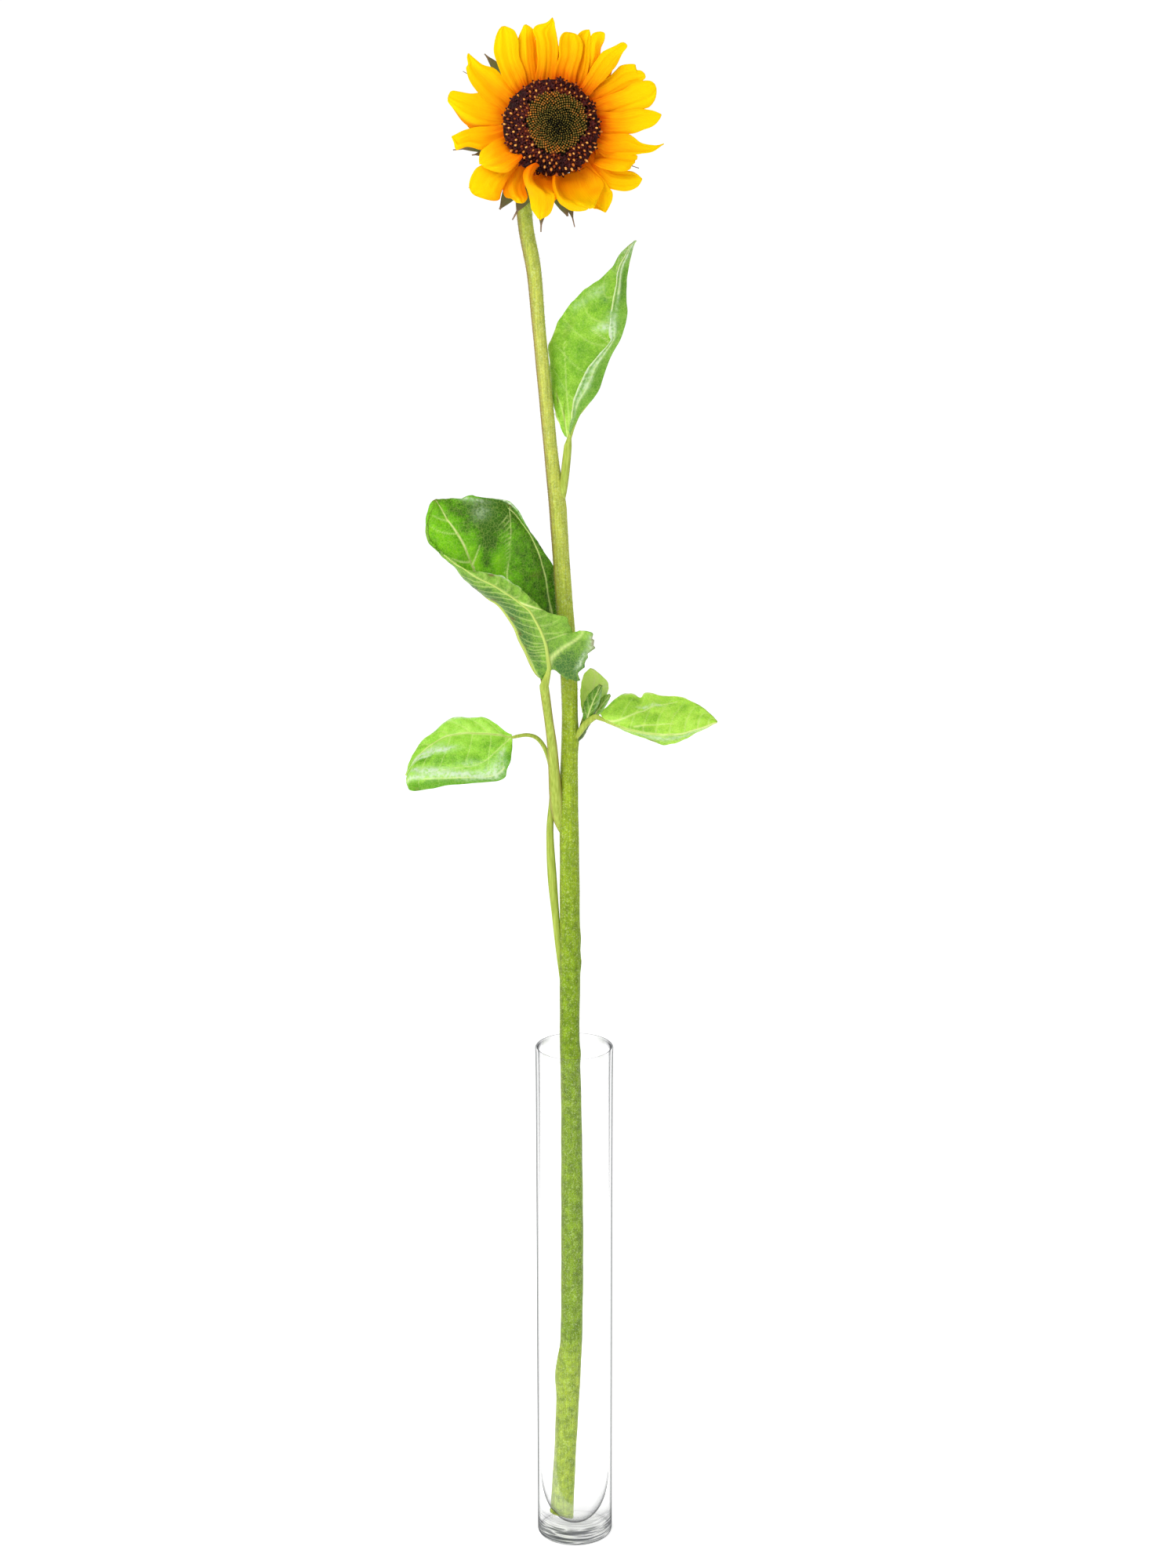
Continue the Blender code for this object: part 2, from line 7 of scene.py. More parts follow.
import bpy
import numpy as np
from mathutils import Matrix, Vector

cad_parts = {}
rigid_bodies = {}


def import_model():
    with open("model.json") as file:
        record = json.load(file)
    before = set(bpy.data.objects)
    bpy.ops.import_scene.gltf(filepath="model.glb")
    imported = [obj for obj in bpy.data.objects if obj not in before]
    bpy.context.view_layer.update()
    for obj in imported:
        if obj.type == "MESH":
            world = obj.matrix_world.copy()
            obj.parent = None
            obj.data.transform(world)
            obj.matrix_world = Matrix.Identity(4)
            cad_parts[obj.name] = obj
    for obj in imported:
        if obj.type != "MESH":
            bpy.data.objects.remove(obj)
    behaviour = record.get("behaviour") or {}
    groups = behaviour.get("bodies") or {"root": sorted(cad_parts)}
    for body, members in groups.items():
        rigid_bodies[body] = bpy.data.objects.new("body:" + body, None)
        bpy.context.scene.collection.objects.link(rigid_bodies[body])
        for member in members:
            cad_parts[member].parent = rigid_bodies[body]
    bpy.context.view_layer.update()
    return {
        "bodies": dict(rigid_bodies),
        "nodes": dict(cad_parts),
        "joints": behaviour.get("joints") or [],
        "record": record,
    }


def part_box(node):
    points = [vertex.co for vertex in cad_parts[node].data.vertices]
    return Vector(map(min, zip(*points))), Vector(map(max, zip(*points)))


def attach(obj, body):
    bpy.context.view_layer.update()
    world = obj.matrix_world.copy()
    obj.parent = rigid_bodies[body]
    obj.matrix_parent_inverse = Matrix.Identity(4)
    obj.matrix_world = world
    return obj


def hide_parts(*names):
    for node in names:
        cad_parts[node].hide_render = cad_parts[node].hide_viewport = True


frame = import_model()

# ----------------------------------------------------------
# Vase: clear soda-lime glass, drawn as a straight tube on a thick foot.  The well inside is
# rounded, and the rim is fire-polished, so the lip is a soft bead.
MM = 0.001


def linear(value):
    """One sRGB channel, from 0 to 255, as a linear share."""
    value = value / 255.0
    return value / 12.92 if value <= 0.04045 else ((value + 0.055) / 1.055) ** 2.4


def colour(hex_value):
    """An sRGB hex colour as linear RGBA."""
    return tuple(linear(int(hex_value[i:i + 2], 16)) for i in (0, 2, 4)) + (1.0,)


def add_node(tree, kind, settings=None, links=None):
    """Adds a node, sets its properties, sockets and ramp stops, and links its inputs.

    Colours are hex values, and what is mixed is colours.  A link names a node, for its first
    output in use, or (node, output).
    """
    node = tree.nodes.new("ShaderNode" + kind)
    if kind == "Mix":
        node.data_type = "RGBA"
    for key, value in (settings or {}).items():
        if key == "stops":
            elements = node.color_ramp.elements
            while len(elements) < len(value):
                elements.new(0.5)
            for element, (place, hex_value) in zip(elements, value):
                element.position = place
                element.color = colour(hex_value)
        elif isinstance(key, str) and key in node.bl_rna.properties:
            setattr(node, key, value)
        else:
            node.inputs[key].default_value = colour(value) if isinstance(value, str) else value
    for key, source in (links or {}).items():
        source, output = source if isinstance(source, tuple) else (source, None)
        socket = source.outputs[output] if output else next(s for s in source.outputs if s.enabled)
        tree.links.new(socket, node.inputs[key])
    return node


def new_material(name):
    """An empty node material, and add_node for its tree."""
    mat = bpy.data.materials.new(name)
    mat.use_nodes = True
    mat.node_tree.nodes.clear()
    return mat, partial(add_node, mat.node_tree)


def place_mesh(name, points, faces, materials, slot, node=None, uvs=None, attributes=None,
               slots=None):
    """A smooth mesh piece from points in millimetres, riding on the one body.

    slot is not used; node is the CAD node that it stands for.
    """
    mesh = bpy.data.meshes.new(name)
    mesh.from_pydata((np.asarray(points) * MM).tolist(), [], [tuple(f) for f in faces])
    mesh.validate()
    mesh.shade_smooth()
    for mat in materials:
        mesh.materials.append(mat)
    if slots is not None:
        mesh.polygons.foreach_set("material_index", np.asarray(slots, np.int32))
    if uvs is not None:
        layer = mesh.uv_layers.new(name="surface")
        corner = np.empty(len(mesh.loops), np.int32)
        mesh.loops.foreach_get("vertex_index", corner)
        layer.data.foreach_set("uv", np.asarray(uvs, np.float32)[corner].ravel())
    for key, values in (attributes or {}).items():
        layer = mesh.attributes.new(key, "FLOAT", "POINT")
        layer.data.foreach_set("value", np.asarray(values, np.float32).ravel())
    piece = bpy.data.objects.new(name, mesh)
    bpy.context.collection.objects.link(piece)
    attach(piece, "root")
    if node:
        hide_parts(node)


def quads(rows):
    """Faces between neighbouring rows of point numbers."""
    corners = (rows[:-1, :-1], rows[:-1, 1:], rows[1:, 1:], rows[1:, :-1])
    return np.stack(corners, axis=-1).reshape(-1, 4).tolist()


def tube_faces(first, sides, rings):
    """Faces of a tube whose rings of points are numbered from first on."""
    rows = first + np.arange(rings * sides).reshape(rings, sides)
    return quads(np.column_stack([rows, rows[:, :1]]))


def turned_mesh(profile, sides, place):
    """Points and faces of a turned solid; the profile starts and ends on the axis."""
    points = [place(0.0, 0.0, profile[0][1]), place(0.0, 0.0, profile[-1][1])]
    for radius, height in profile[1:-1]:
        points += [place(radius, 2 * math.pi * i / sides, height) for i in range(sides)]
    faces = tube_faces(2, sides, len(profile) - 2)
    last = len(points) - sides
    for i in range(sides):
        j = (i + 1) % sides
        faces += [(0, 2 + j, 2 + i), (1, last + i, last + j)]
    return points, faces


VASE_WALL = 1.6
RIM_RISE, RIM_OUT = 1.4, 0.4      # the fire-polished rim stands up and out a little
VASE_FLOOR = 5.4                  # thickness of glass under the middle of the well
VASE_BOWL_TOP = 50.0              # the well is straight above this and rounds in below it
VASE_FOOT = 10.5                  # solid foot, ringed with shallow mould waves
VASE_SIDES, BOWL_STEPS = 128, 24
vase_low, vase_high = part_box("glass_vase")
vase_radius = (vase_high[0] - vase_low[0]) / 2 / MM
vase_height = vase_high[2] / MM + RIM_RISE
rim_radius = vase_radius + RIM_OUT
well_radius = vase_radius - VASE_WALL


def arc(centre, radius, start, stop, steps):
    """Points (r, z) on an arc, angles in degrees."""
    out = []
    for k in range(steps + 1):
        a = math.radians(start + (stop - start) * k / steps)
        out.append((centre[0] + radius * math.cos(a), centre[1] + radius * math.sin(a)))
    return out


vase_profile = [(0.0, 0.6), (vase_radius - 6.0, 0.4), (vase_radius - 3.5, 0.0)]
vase_profile += arc((vase_radius - 1.6, 1.6), 1.6, -90, 0, 5)
vase_profile += [(vase_radius, z) for z in (
    4, 7, VASE_FOOT, 11.5, 16, 21, 26, 31, 36, 41, 48, 70, 90, 150, 200)]
vase_profile += [(vase_radius + 0.1, vase_height - 20), (rim_radius - 0.1, vase_height - 4)]
lip = VASE_WALL / 2
vase_profile += arc((rim_radius - lip, vase_height - lip), lip, 0, 180, 12)
vase_profile += [(rim_radius - VASE_WALL - 0.1, vase_height - 4),
                 (well_radius + 0.1, vase_height - 20)]
vase_profile += [(well_radius, z) for z in (200, 150, 90, VASE_BOWL_TOP)]
for k in range(1, BOWL_STEPS):
    down = math.sin(math.pi / 2 * k / BOWL_STEPS)
    vase_profile.append((well_radius * math.sqrt(1 - down ** 3),
                         VASE_BOWL_TOP - (VASE_BOWL_TOP - VASE_FLOOR) * down))
vase_profile.append((0.0, VASE_FLOOR))


def upright(radius, angle, height):
    return (radius * math.cos(angle), radius * math.sin(angle), height)


def clear_glass():
    """Soda-lime glass: colourless and very smooth; its grey, where it is looked at edge on, is painted shade.
    """
    mat, add = new_material("clear_glass")
    where = (add("TexCoord"), "Object")
    ripple = add("TexNoise", {"Scale": 22.0, "Detail": 1.0}, {"Vector": where})
    bump = add("Bump", {"Strength": 0.08, "Distance": 0.6 * MM}, {"Height": ripple})
    # painted shade: the glass greys as it is seen edge on, standing in for the darker room seen in it
    along = (add("LayerWeight", {"Blend": 0.5}), "Facing")
    edge = add("ValToRGB", {"stops": [(0, "FFFFFF"), (0.66, "FDFDFD"), (0.78, "D4D5D5"),
                                      (0.9, "A4A6A6"), (1, "8A8C8C")]}, {"Fac": along})
    # the well's own edge hardly shows above the foot, where glass and air meet nearly square, so its painted
    # edge grey is lifted there
    well = (add("Attribute", {"attribute_name": "well"}), "Fac")
    grey = add("Mix", {"B": "FFFFFF"}, {"Factor": well, "A": edge})
    bowl = add("ValToRGB", {"stops": [(0.42, "FFFFFF"), (0.62, "C0C1C2"), (0.78, "808284"),
                                      (0.95, "5E6062")]}, {"Fac": along})
    # painted shade in the foot: grey and white bands along waves of the mould round it, 3 mm high and as long
    # as a third of the way round
    flat = add("Mapping", {"Scale": (0.09, 0.09, 1.0)}, {"Vector": where})
    waves = add("TexNoise", {"Scale": 330.0, "Detail": 2.0, "Roughness": 0.6}, {"Vector": flat})
    bands = add("ValToRGB", {"stops": [(0.36, "5A5C5E"), (0.45, "8E9092"), (0.51, "E4E4E4"),
                                       (0.57, "787A7C"), (0.68, "AEB0B0")]}, {"Fac": waves})
    # painted shade: the foot and the rim are greyed on their near side, the bowl where it is seen through glass
    behind = (add("NewGeometry"), "Backfacing")
    near = add("Math", {"operation": "SUBTRACT", 0: 1.0}, {1: behind})
    slope = add("MapRange", {"From Min": 0.25, "From Max": 0.7}, {"Value": along})
    sloping = add("Math", {"operation": "MULTIPLY"}, {0: near, 1: slope})
    for part, side, tones in (("thick", near, {"B": bands}), ("deep", behind, {"B": bowl}),
                              ("smoke", near, {}), ("lip", sloping, {})):
        painted = (add("Attribute", {"attribute_name": part}), "Fac")
        share = add("Math", {"operation": "MULTIPLY"}, {0: painted, 1: side})
        grey = add("Mix", {"blend_type": "MULTIPLY", "B": "6C6E70"},
                   {"Factor": share, "A": grey, **tones})
    clear = add("BsdfTransparent", links={"Color": grey})
    shine = add("BsdfGlossy", {"Roughness": 0.02, "Color": "FFFFFF"}, {"Normal": bump})
    weak = add("MapRange", {"From Min": 0.04, "From Max": 1.0, "To Min": 0.008, "To Max": 0.14},
               {"Value": add("Fresnel", {"IOR": 1.5})})
    glass = add("MixShader", links={0: weak, 1: clear, 2: shine})
    add("OutputMaterial", links={"Surface": glass})
    return mat


points, faces = turned_mesh(vase_profile, VASE_SIDES, upright)
at = np.array(points)
round_at = np.hypot(at[:, 0], at[:, 1])
on_rim = at[:, 2] > vase_height - 2.5
inner_lip = on_rim & (round_at < rim_radius - VASE_WALL / 2 + 0.05)
outside = round_at > well_radius + 0.2
solid_foot = (at[:, 2] < VASE_FOOT + 0.1) & outside
in_well = (round_at < well_radius + 0.05) & (at[:, 2] > VASE_FLOOR - 0.1)
low = np.clip((42.0 - at[:, 2]) / 26.0, 0, 1)
foot_edge = outside & (at[:, 2] < 1.0)
# painted shade: a darker line down the left wall
left_wall_shade = outside * (at[:, 0] < -0.975 * vase_radius) * (at[:, 2] > 30) \
    * np.clip((200.0 - at[:, 2]) / 90.0, 0, 1)
# painted shade in the glass, by attribute: on the rim, down the left wall, at the foot's edge, on the inner
# lip, in the thick foot and in the deep bowl
place_mesh("vase_glass", points, faces, [clear_glass()], "clear_glass", "glass_vase", attributes={
    "smoke": on_rim * 0.12 + 0.4 * left_wall_shade + 0.6 * foot_edge, "lip": inner_lip * 1.0,
    "thick": solid_foot + outside * (at[:, 2] > VASE_FOOT + 0.1) * (at[:, 2] < 20) * 0.5,
    "well": in_well * 0.85 * (1 - low), "deep": in_well * low})

# ----------------------------------------------------------
# Stem: one fresh green rod, cut on a slant at the foot and bent under the head.  Its skin is
# ribbed along its length, yellower towards the top with a painted red-brown shade on one side
# there, and bare below the old water line.
# middle (x, y, z) and radius of the stem, mm, from the foot to the neck
STEM_LINE = [
    (-7.9, -3.4, 11.6, 6.9), (-5.9, -1.6, 48, 6.4), (-4.1, 0.6, 85, 6.7),
    (-3.3, 1.8, 103, 6.8), (-1.9, 2.9, 123, 6.3), (-1.35, 5.8, 173, 6.4),
    (-1.5, 8.8, 223, 6.2), (-1.9, 11.4, 271, 5.8), (-2.7, 12.9, 305, 5.6),
    (-2.5, 14.2, 343, 5.8), (-2.6, 15.2, 400, 5.6), (-2.9, 15, 455, 5.1),
    (-2.3, 14.2, 497, 4.5), (-3.5, 13, 537, 4.7), (-6.2, 11.6, 577, 4.6),
    (-8.8, 10, 616, 4.6), (-12, 8.6, 645, 3.8), (-15.3, 7.2, 681, 3.7),
    (-18.8, 6, 719, 3.6), (-21.2, 6.6, 747, 4), (-25.4, 9, 770, 4.1),
    (-26.4, 13, 790, 4.3), (-22.6, 14.2, 806, 4.6), (-17, 8.4, 816.4, 4.9),
    (-13.2, -1, 821.6, 5.2), (-12.2, -9.1, 823, 5.6),
]
STEM_SIDES = 48
STEM_STEPS = 16                   # rings between two points of the line
BARE_HEIGHT = 122.0               # the skin is bare and pale below this
# swellings: height, angle round the stem in degrees, how far it stands out, its length, mm
STEM_KNOTS = [(100, 180, 1.1, 9), (112, 170, 0.6, 6), (352, 0, 0.9, 5), (366, 350, 0.6, 5),
              (297, 350, 0.8, 5), (452, 200, 0.8, 8), (486, 350, 0.9, 6), (618, 350, 0.7, 7)]


def spline(points, steps):
    """A Catmull-Rom curve through rows of numbers, with steps intervals per span."""
    rows = np.asarray(points, float)
    ends = np.vstack([rows[:1], rows, rows[-1:]])
    t = (np.arange(steps) / steps).reshape((-1,) + (1,) * (rows.ndim - 1))
    out = []
    for a, b, c, d in zip(ends, ends[1:], ends[2:], ends[3:]):
        out.append(0.5 * (2 * b + (c - a) * t + (2 * a - 5 * b + 4 * c - d) * t ** 2
                          + (3 * b - a - 3 * c + d) * t ** 3))
    out.append(rows[-1:])
    return np.concatenate(out)


def unit(vectors):
    """Vectors scaled to a length of 1."""
    return vectors / np.maximum(np.linalg.norm(vectors, axis=-1), 1e-9)[..., None]


def rod_mesh(line, sides, shape):
    """Rings round a line of (x, y, z, radius); shape gives a factor on the radius.

    Returns points, faces and each ring's frame for what grows on it.
    """
    centres = line[:, :3]
    side = np.array([1.0, 0.0, 0.0])
    points, frames = [], []
    angles = 2 * math.pi * np.arange(sides) / sides
    for centre, forward, radius in zip(centres, unit(np.gradient(centres, axis=0)), line[:, 3]):
        side = unit(side - forward * side.dot(forward))
        other = np.cross(forward, side)
        out = (radius * shape(centre, angles))[:, None]
        points.append(centre + out * (np.cos(angles)[:, None] * side
                                      + np.sin(angles)[:, None] * other))
        frames.append((centre, side, other, forward, radius))
    points = np.concatenate(points + [centres[:1], centres[-1:]])
    faces = tube_faces(0, sides, len(centres))
    foot, top = len(points) - 2, len(points) - 1
    for i in range(sides):
        j = (i + 1) % sides
        faces += [(foot, j, i), (top, foot - sides + i, foot - sides + j)]
    return points, faces, frames


def stem_shape(centre, angles):
    """Ribs along the stem, and the knots where leaves and hairs once stood."""
    ribs = 1 + 0.016 * np.cos(11 * angles + 0.004 * centre[2]) \
        + 0.011 * np.cos(5 * angles + 1.3 + 0.011 * centre[2]) \
        + 0.010 * math.sin(centre[2] * 0.21) + 0.006 * np.cos(23 * angles)
    for height, angle, out, length in STEM_KNOTS:
        turn = np.cos(angles - math.radians(angle)) - 1
        ribs = ribs + out / 6.0 * np.exp(turn * 3.0 - ((centre[2] - height) / length) ** 2)
    return ribs


def skin_shader(add, tone, relief, strength, relief_mm, settings, links=None):
    """Plant tissue's shader: its colour, its fine relief and its gloss."""
    bump = add("Bump", {"Strength": strength, "Distance": relief_mm * MM}, {"Height": relief})
    skin = add("BsdfPrincipled", settings, {"Base Color": tone, "Normal": bump, **(links or {})})
    add("OutputMaterial", links={"Surface": skin})


def stem_skin():
    """Fresh ribbed skin: green with paler streaks, yellow-tan higher up, with painted red-brown shade on one
    side.
    """
    mat, add = new_material("fresh_stem_skin")
    where = (add("TexCoord"), "Object")
    split = add("SeparateXYZ", links={"Vector": where})
    tone = add("ValToRGB", {"stops": [(0, "B2C45C"), (0.10, "A6BB48"), (0.118, "A0B840"),
                                      (0.124, "84A224"), (0.34, "84A01E"), (0.5, "A2B62E"),
                                      (0.6, "BAC058"), (0.7, "C6C868"), (0.8, "B6C254")]},
               {"Fac": (split, "Z")})
    # streaks run up the stem: 0.6 mm wide and about 12 mm long
    stretched = add("Mapping", {"Scale": (1.0, 1.0, 0.05)}, {"Vector": where})
    streak = add("TexNoise", {"Scale": 1500.0, "Detail": 2.0}, {"Vector": stretched})
    streaks = add("ValToRGB", {"stops": [(0.3, "50601C"), (0.7, "D8E29A")]}, {"Fac": streak})
    tone = add("Mix", {"blend_type": "OVERLAY", "Factor": 0.28},
               {"A": tone, "B": streaks})
    # mottling 4 mm across, which fades up the stem
    mottle = add("TexNoise", {"Scale": 260.0, "Detail": 4.0, "Roughness": 0.65}, {"Vector": where})
    patches = add("ValToRGB", {"stops": [(0.36, "4E6A14"), (0.64, "D6DA88")]}, {"Fac": mottle})
    share = add("MapRange", {"From Min": 0.32, "From Max": 0.60, "To Min": 0.5, "To Max": 0.2},
                {"Value": (split, "Z")})
    tone = add("Mix", {"blend_type": "OVERLAY"},
               {"Factor": share, "A": tone, "B": patches})
    # pale hair roots, 1 mm apart, and dull brown dots among them
    dots = add("TexNoise", {"Scale": 1000.0, "Detail": 2.0, "Roughness": 0.7}, {"Vector": where})
    for dot, stops in (("DCE8A0", [(0.54, "000000"), (0.66, "A8A8A8")]),
                       ("727C24", [(0.34, "A0A0A0"), (0.45, "000000")])):
        spread = add("ValToRGB", {"stops": stops}, {"Fac": dots})
        tone = add("Mix", {"B": dot}, {"Factor": spread, "A": tone})
    # painted shade: the skin is darkened to red-brown where it faces -X, above the large leaf
    facing = add("SeparateXYZ", links={"Vector": (add("TexCoord"), "Normal")})
    left = add("MapRange", {"From Min": -0.45, "From Max": -0.95}, {"Value": facing})
    high = add("MapRange", {"From Min": 0.52, "From Max": 0.60, "To Min": 0.12, "To Max": 0.8},
               {"Value": (split, "Z")})
    blush_and_side_shade = add("Math", {"operation": "MULTIPLY"}, {0: left, 1: high})
    tone = add("Mix", {"B": "7E5A30"}, {"Factor": blush_and_side_shade, "A": tone})
    skin_shader(add, tone, streak, 0.5, 0.4, {
        "Roughness": 0.55, "IOR": 1.45, "Specular IOR Level": 0.2, "Subsurface Weight": 0.12,
        "Subsurface Scale": 0.002})
    return mat


stem_line = spline(STEM_LINE, STEM_STEPS)
points, faces, stem_rings = rod_mesh(stem_line, STEM_SIDES, stem_shape)
# the slanting cut: the first ring lies in a plane that follows the rounded well
foot = stem_line[0]
for i in list(range(STEM_SIDES)) + [len(points) - 2]:
    points[i, 2] = foot[2] + (foot[0] - points[i, 0]) * 0.42 + (foot[1] - points[i, 1]) * 0.22
place_mesh("stem_skin", points, faces, [stem_skin()], "stem_green", "stem")

# ----------------------------------------------------------
# Stem hairs: short stiff white hairs that stand off the skin everywhere above the bare foot.
# They catch the light and make the stem's edges look soft.
HAIR_COUNT = 7600
HAIR_WIDTH = 0.13                 # drawn a little thicker than real, so that it shows


def hair_mesh(roots):
    """Three-sided spikes: roots are (point, direction, length, width)."""
    points, faces = [], []
    for root, direction, length, width in roots:
        side = unit(np.cross(direction, [0.3, 0.5, 0.81]))
        other = np.cross(direction, side)
        first = len(points)
        for k in range(3):
            a = 2 * math.pi * k / 3
            points.append(root + (side * math.cos(a) + other * math.sin(a)) * width / 2)
        points.append(root + direction * length)
        for k in range(3):
            faces.append((first + k, first + (k + 1) % 3, first + 3))
        faces.append((first + 2, first + 1, first))
    return np.array(points), faces


def pale_hair():
    """Dry plant hair: near white, slightly see-through, rough."""
    mat, add = new_material("pale_plant_hair")
    tint = add("TexNoise", {"Scale": 300.0}, {"Vector": (add("TexCoord"), "Object")})
    tone = add("ValToRGB", {"stops": [(0.3, "C8D08C"), (0.7, "EEF1D2")]}, {"Fac": tint})
    hair = add("BsdfPrincipled", {"Roughness": 0.6, "IOR": 1.5}, {"Base Color": tone})
    add("OutputMaterial", links={"Surface": hair})
    return mat


PALE_HAIR = pale_hair()
hair_random = random.Random(11)
roots = []
while len(roots) < HAIR_COUNT:
    ring = hair_random.randrange(len(stem_rings) - 6)
    centre, side, other, forward, radius = stem_rings[ring]
    if centre[2] < BARE_HEIGHT + 12 * hair_random.random():
        continue
    a = 2 * math.pi * hair_random.random()
    out = side * math.cos(a) + other * math.sin(a)
    direction = unit(out + forward * hair_random.uniform(-0.5, 0.7)
                     + np.cross(out, forward) * hair_random.uniform(-0.4, 0.4))
    length = hair_random.uniform(0.7, 1.7)
    root = centre + out * (radius - 0.1) + forward * hair_random.uniform(-1.5, 1.5)
    tip = root + direction * length
    if tip[2] < vase_height + 2 and math.hypot(tip[0], tip[1]) > well_radius - 0.3:
        continue
    roots.append((root, direction, length, HAIR_WIDTH))
place_mesh("stem_hairs", *hair_mesh(roots), [PALE_HAIR], "stem_green")

# ----------------------------------------------------------
# Head cup: the green fleshy base that swells out of the stem and carries petals and florets.
# Little of it shows, from the side and behind; its back is ribbed where the bracts grow out.
HEAD_AT = np.array([-10.3, -27.0, 825.5])    # middle of the disc's rim, mm
HEAD_TURN = math.radians(6.0)
HEAD_RAISE = math.radians(8.0)
OUT = np.array([math.sin(HEAD_TURN) * math.cos(HEAD_RAISE),
                -math.cos(HEAD_TURN) * math.cos(HEAD_RAISE), math.sin(HEAD_RAISE)])
RIGHT = np.array([math.cos(HEAD_TURN), math.sin(HEAD_TURN), 0.0])
UP = np.cross(OUT, RIGHT)
HEAD_SIDES = 96
DISC_OVAL, DISC_ASIDE = (0.965, 0.956), -0.85     # the disc is slightly oval and off the middle
CUP_PROFILE = [(0, -17.8), (4, -17.6), (7, -17.3), (11, -16.3), (17, -14.5), (20, -13), (21.8, -12),
               (23.2, -10.6), (23.7, -9.4), (23.7, -7), (23.7, -4.2), (23, -3.4), (0, -3.4)]


def in_head(radius, angle, depth):
    """A point of the head, mm: radius and angle in the disc's plane, depth to the front."""
    across, up = DISC_OVAL
    return HEAD_AT + RIGHT * (across * radius * math.cos(angle) + DISC_ASIDE) \
        + UP * up * radius * math.sin(angle) + OUT * depth


def grain(add, size_mm, detail=2.0, rough=0.5):
    """Noise whose patches are size_mm across."""
    return add("TexNoise", {"Scale": 1.0 / (size_mm * MM), "Detail": detail, "Roughness": rough},
               {"Vector": (add("TexCoord"), "Object")})


def mottled_skin(name, patch_mm, detail, stops, relief_mm, settings):
    """Fleshy green tissue, mottled in patches of patch_mm over a relief of relief_mm."""
    mat, add = new_material(name)
    tone = add("ValToRGB", {"stops": stops}, {"Fac": grain(add, patch_mm, detail)})
    skin_shader(add, tone, grain(add, relief_mm), 1.0, 0.3,
                {"IOR": 1.45, "Subsurface Scale": 0.002, **settings})
    return mat


CUP_SKIN = mottled_skin("green_cup_skin", 5.0, 4.0, [(0.3, "5E7A2A"), (0.7, "9DB052")], 1.2,
                        {"Roughness": 0.6, "Subsurface Weight": 0.1})
place_mesh("head_cup", *turned_mesh(CUP_PROFILE, HEAD_SIDES, in_head), [CUP_SKIN], "cup_green",
           "receptacle")

# ----------------------------------------------------------
# Disc: hundreds of tubular florets packed in the golden-angle spiral on a low dome.  Those at
# the rim are open: dark maroon lobes round a pale forked stigma.  The middle ones are closed,
# olive buds, and the youngest in the eye are almost black.
GOLDEN = math.pi * (3 - math.sqrt(5))
DOME = [(0, 3.2), (6, 3.6), (12, 4.2), (16, 4.0), (19, 3.0), (22.5, 2.0), (25.2, 0.2), (26.2, -1.5)]
OPEN_SPACING = 1.52               # radius of floret n is this times the root of n
SHUT_SPACING = 0.70
OPEN_FROM = 12.0
OPEN_TO = 24.9


def ring_inside(x, y):
    """How far a place lies inside the closed florets' wavy outline, mm."""
    a = math.atan2(y - SHUT_AT[1], x - SHUT_AT[0])
    wavy = SHUT_RADIUS + 0.4 * math.sin(3 * a + 1.0) + 0.3 * math.sin(13 * a) \
        + 0.4 * math.sin(29 * a + 2.0)
    return wavy - math.hypot(x - SHUT_AT[0], y - SHUT_AT[1])


def dome_height(radius):
    return float(np.interp(radius, *zip(*DOME)))


def floret_frame(radius, angle):
    """Where a floret stands, and its own axes: outwards on the dome, round, and up its tube."""
    rise = dome_height(radius + 0.5) - dome_height(radius - 0.5)
    flat = RIGHT * math.cos(angle) + UP * math.sin(angle)
    along = unit(flat + OUT * rise)
    round_ = UP * math.cos(angle) - RIGHT * math.sin(angle)
    return in_head(radius, angle, dome_height(radius)), along, round_, np.cross(along, round_)


def bud(frame, rings, sides, points, faces, attribute, value, lobes=0):
    """A small turned form on a floret's axes: rings are (radius, height, star share, push)."""
    at, along, round_, axis = frame
    first = len(points)
    for radius, height, star, push in rings:
        for i in range(sides):
            a = 2 * math.pi * i / sides
            r = radius * (1 + star * math.cos(lobes * a))
            points.append(at + along * (r * math.cos(a) + push) + round_ * r * math.sin(a)
                          + axis * height)
    attribute += [value[0]] * (sides * (len(rings) - 1)) + [value[1]] * sides
    faces += tube_faces(first, sides, len(rings))
    faces.append(list(range(first + sides - 1, first - 1, -1)))
    faces.append(list(range(len(points) - sides, len(points))))


def disc_material(name, stops, roughness, size_mm, relief_mm):
    """Floret tissue whose colour follows the floret's own tone, mottled at size_mm."""
    mat, add = new_material(name)
    own = (add("Attribute", {"attribute_name": "tone"}), "Fac")
    spot = grain(add, size_mm, 3.0)
    mixed = add("Math", {"operation": "MULTIPLY_ADD", 1: 0.22}, {0: spot, 2: own})
    tone = add("ValToRGB", {"stops": stops}, {"Fac": mixed})
    skin_shader(add, tone, spot, 1.0, relief_mm,
                {"Roughness": roughness, "IOR": 1.45, "Specular IOR Level": 0.25})
    return mat


disc_random = random.Random(5)
# the bed that the florets stand in: dark, a little below their tips
BED_PROFILE = [(0, -3.4), (25.9, -3.4), (25.9, -3), (24.4, -2.6), (24.6, -2), (24.6, -1.2),
               (23.8, 0), (21.5, 1.2), (18.5, 2.2), (16, 2.9), (12, 3.1), (6, 2.6), (0, 2.2)]
BED = disc_material("floret_bed_dark", [(0.0, "140A08"), (1.0, "2E1A10")], 0.85, 0.8, 0.2)
points, faces = turned_mesh(BED_PROFILE, HEAD_SIDES, in_head)
place_mesh("floret_bed", points, faces, [BED], "floret_brown", "disc",
           attributes={"tone": [0.3] * len(points)})

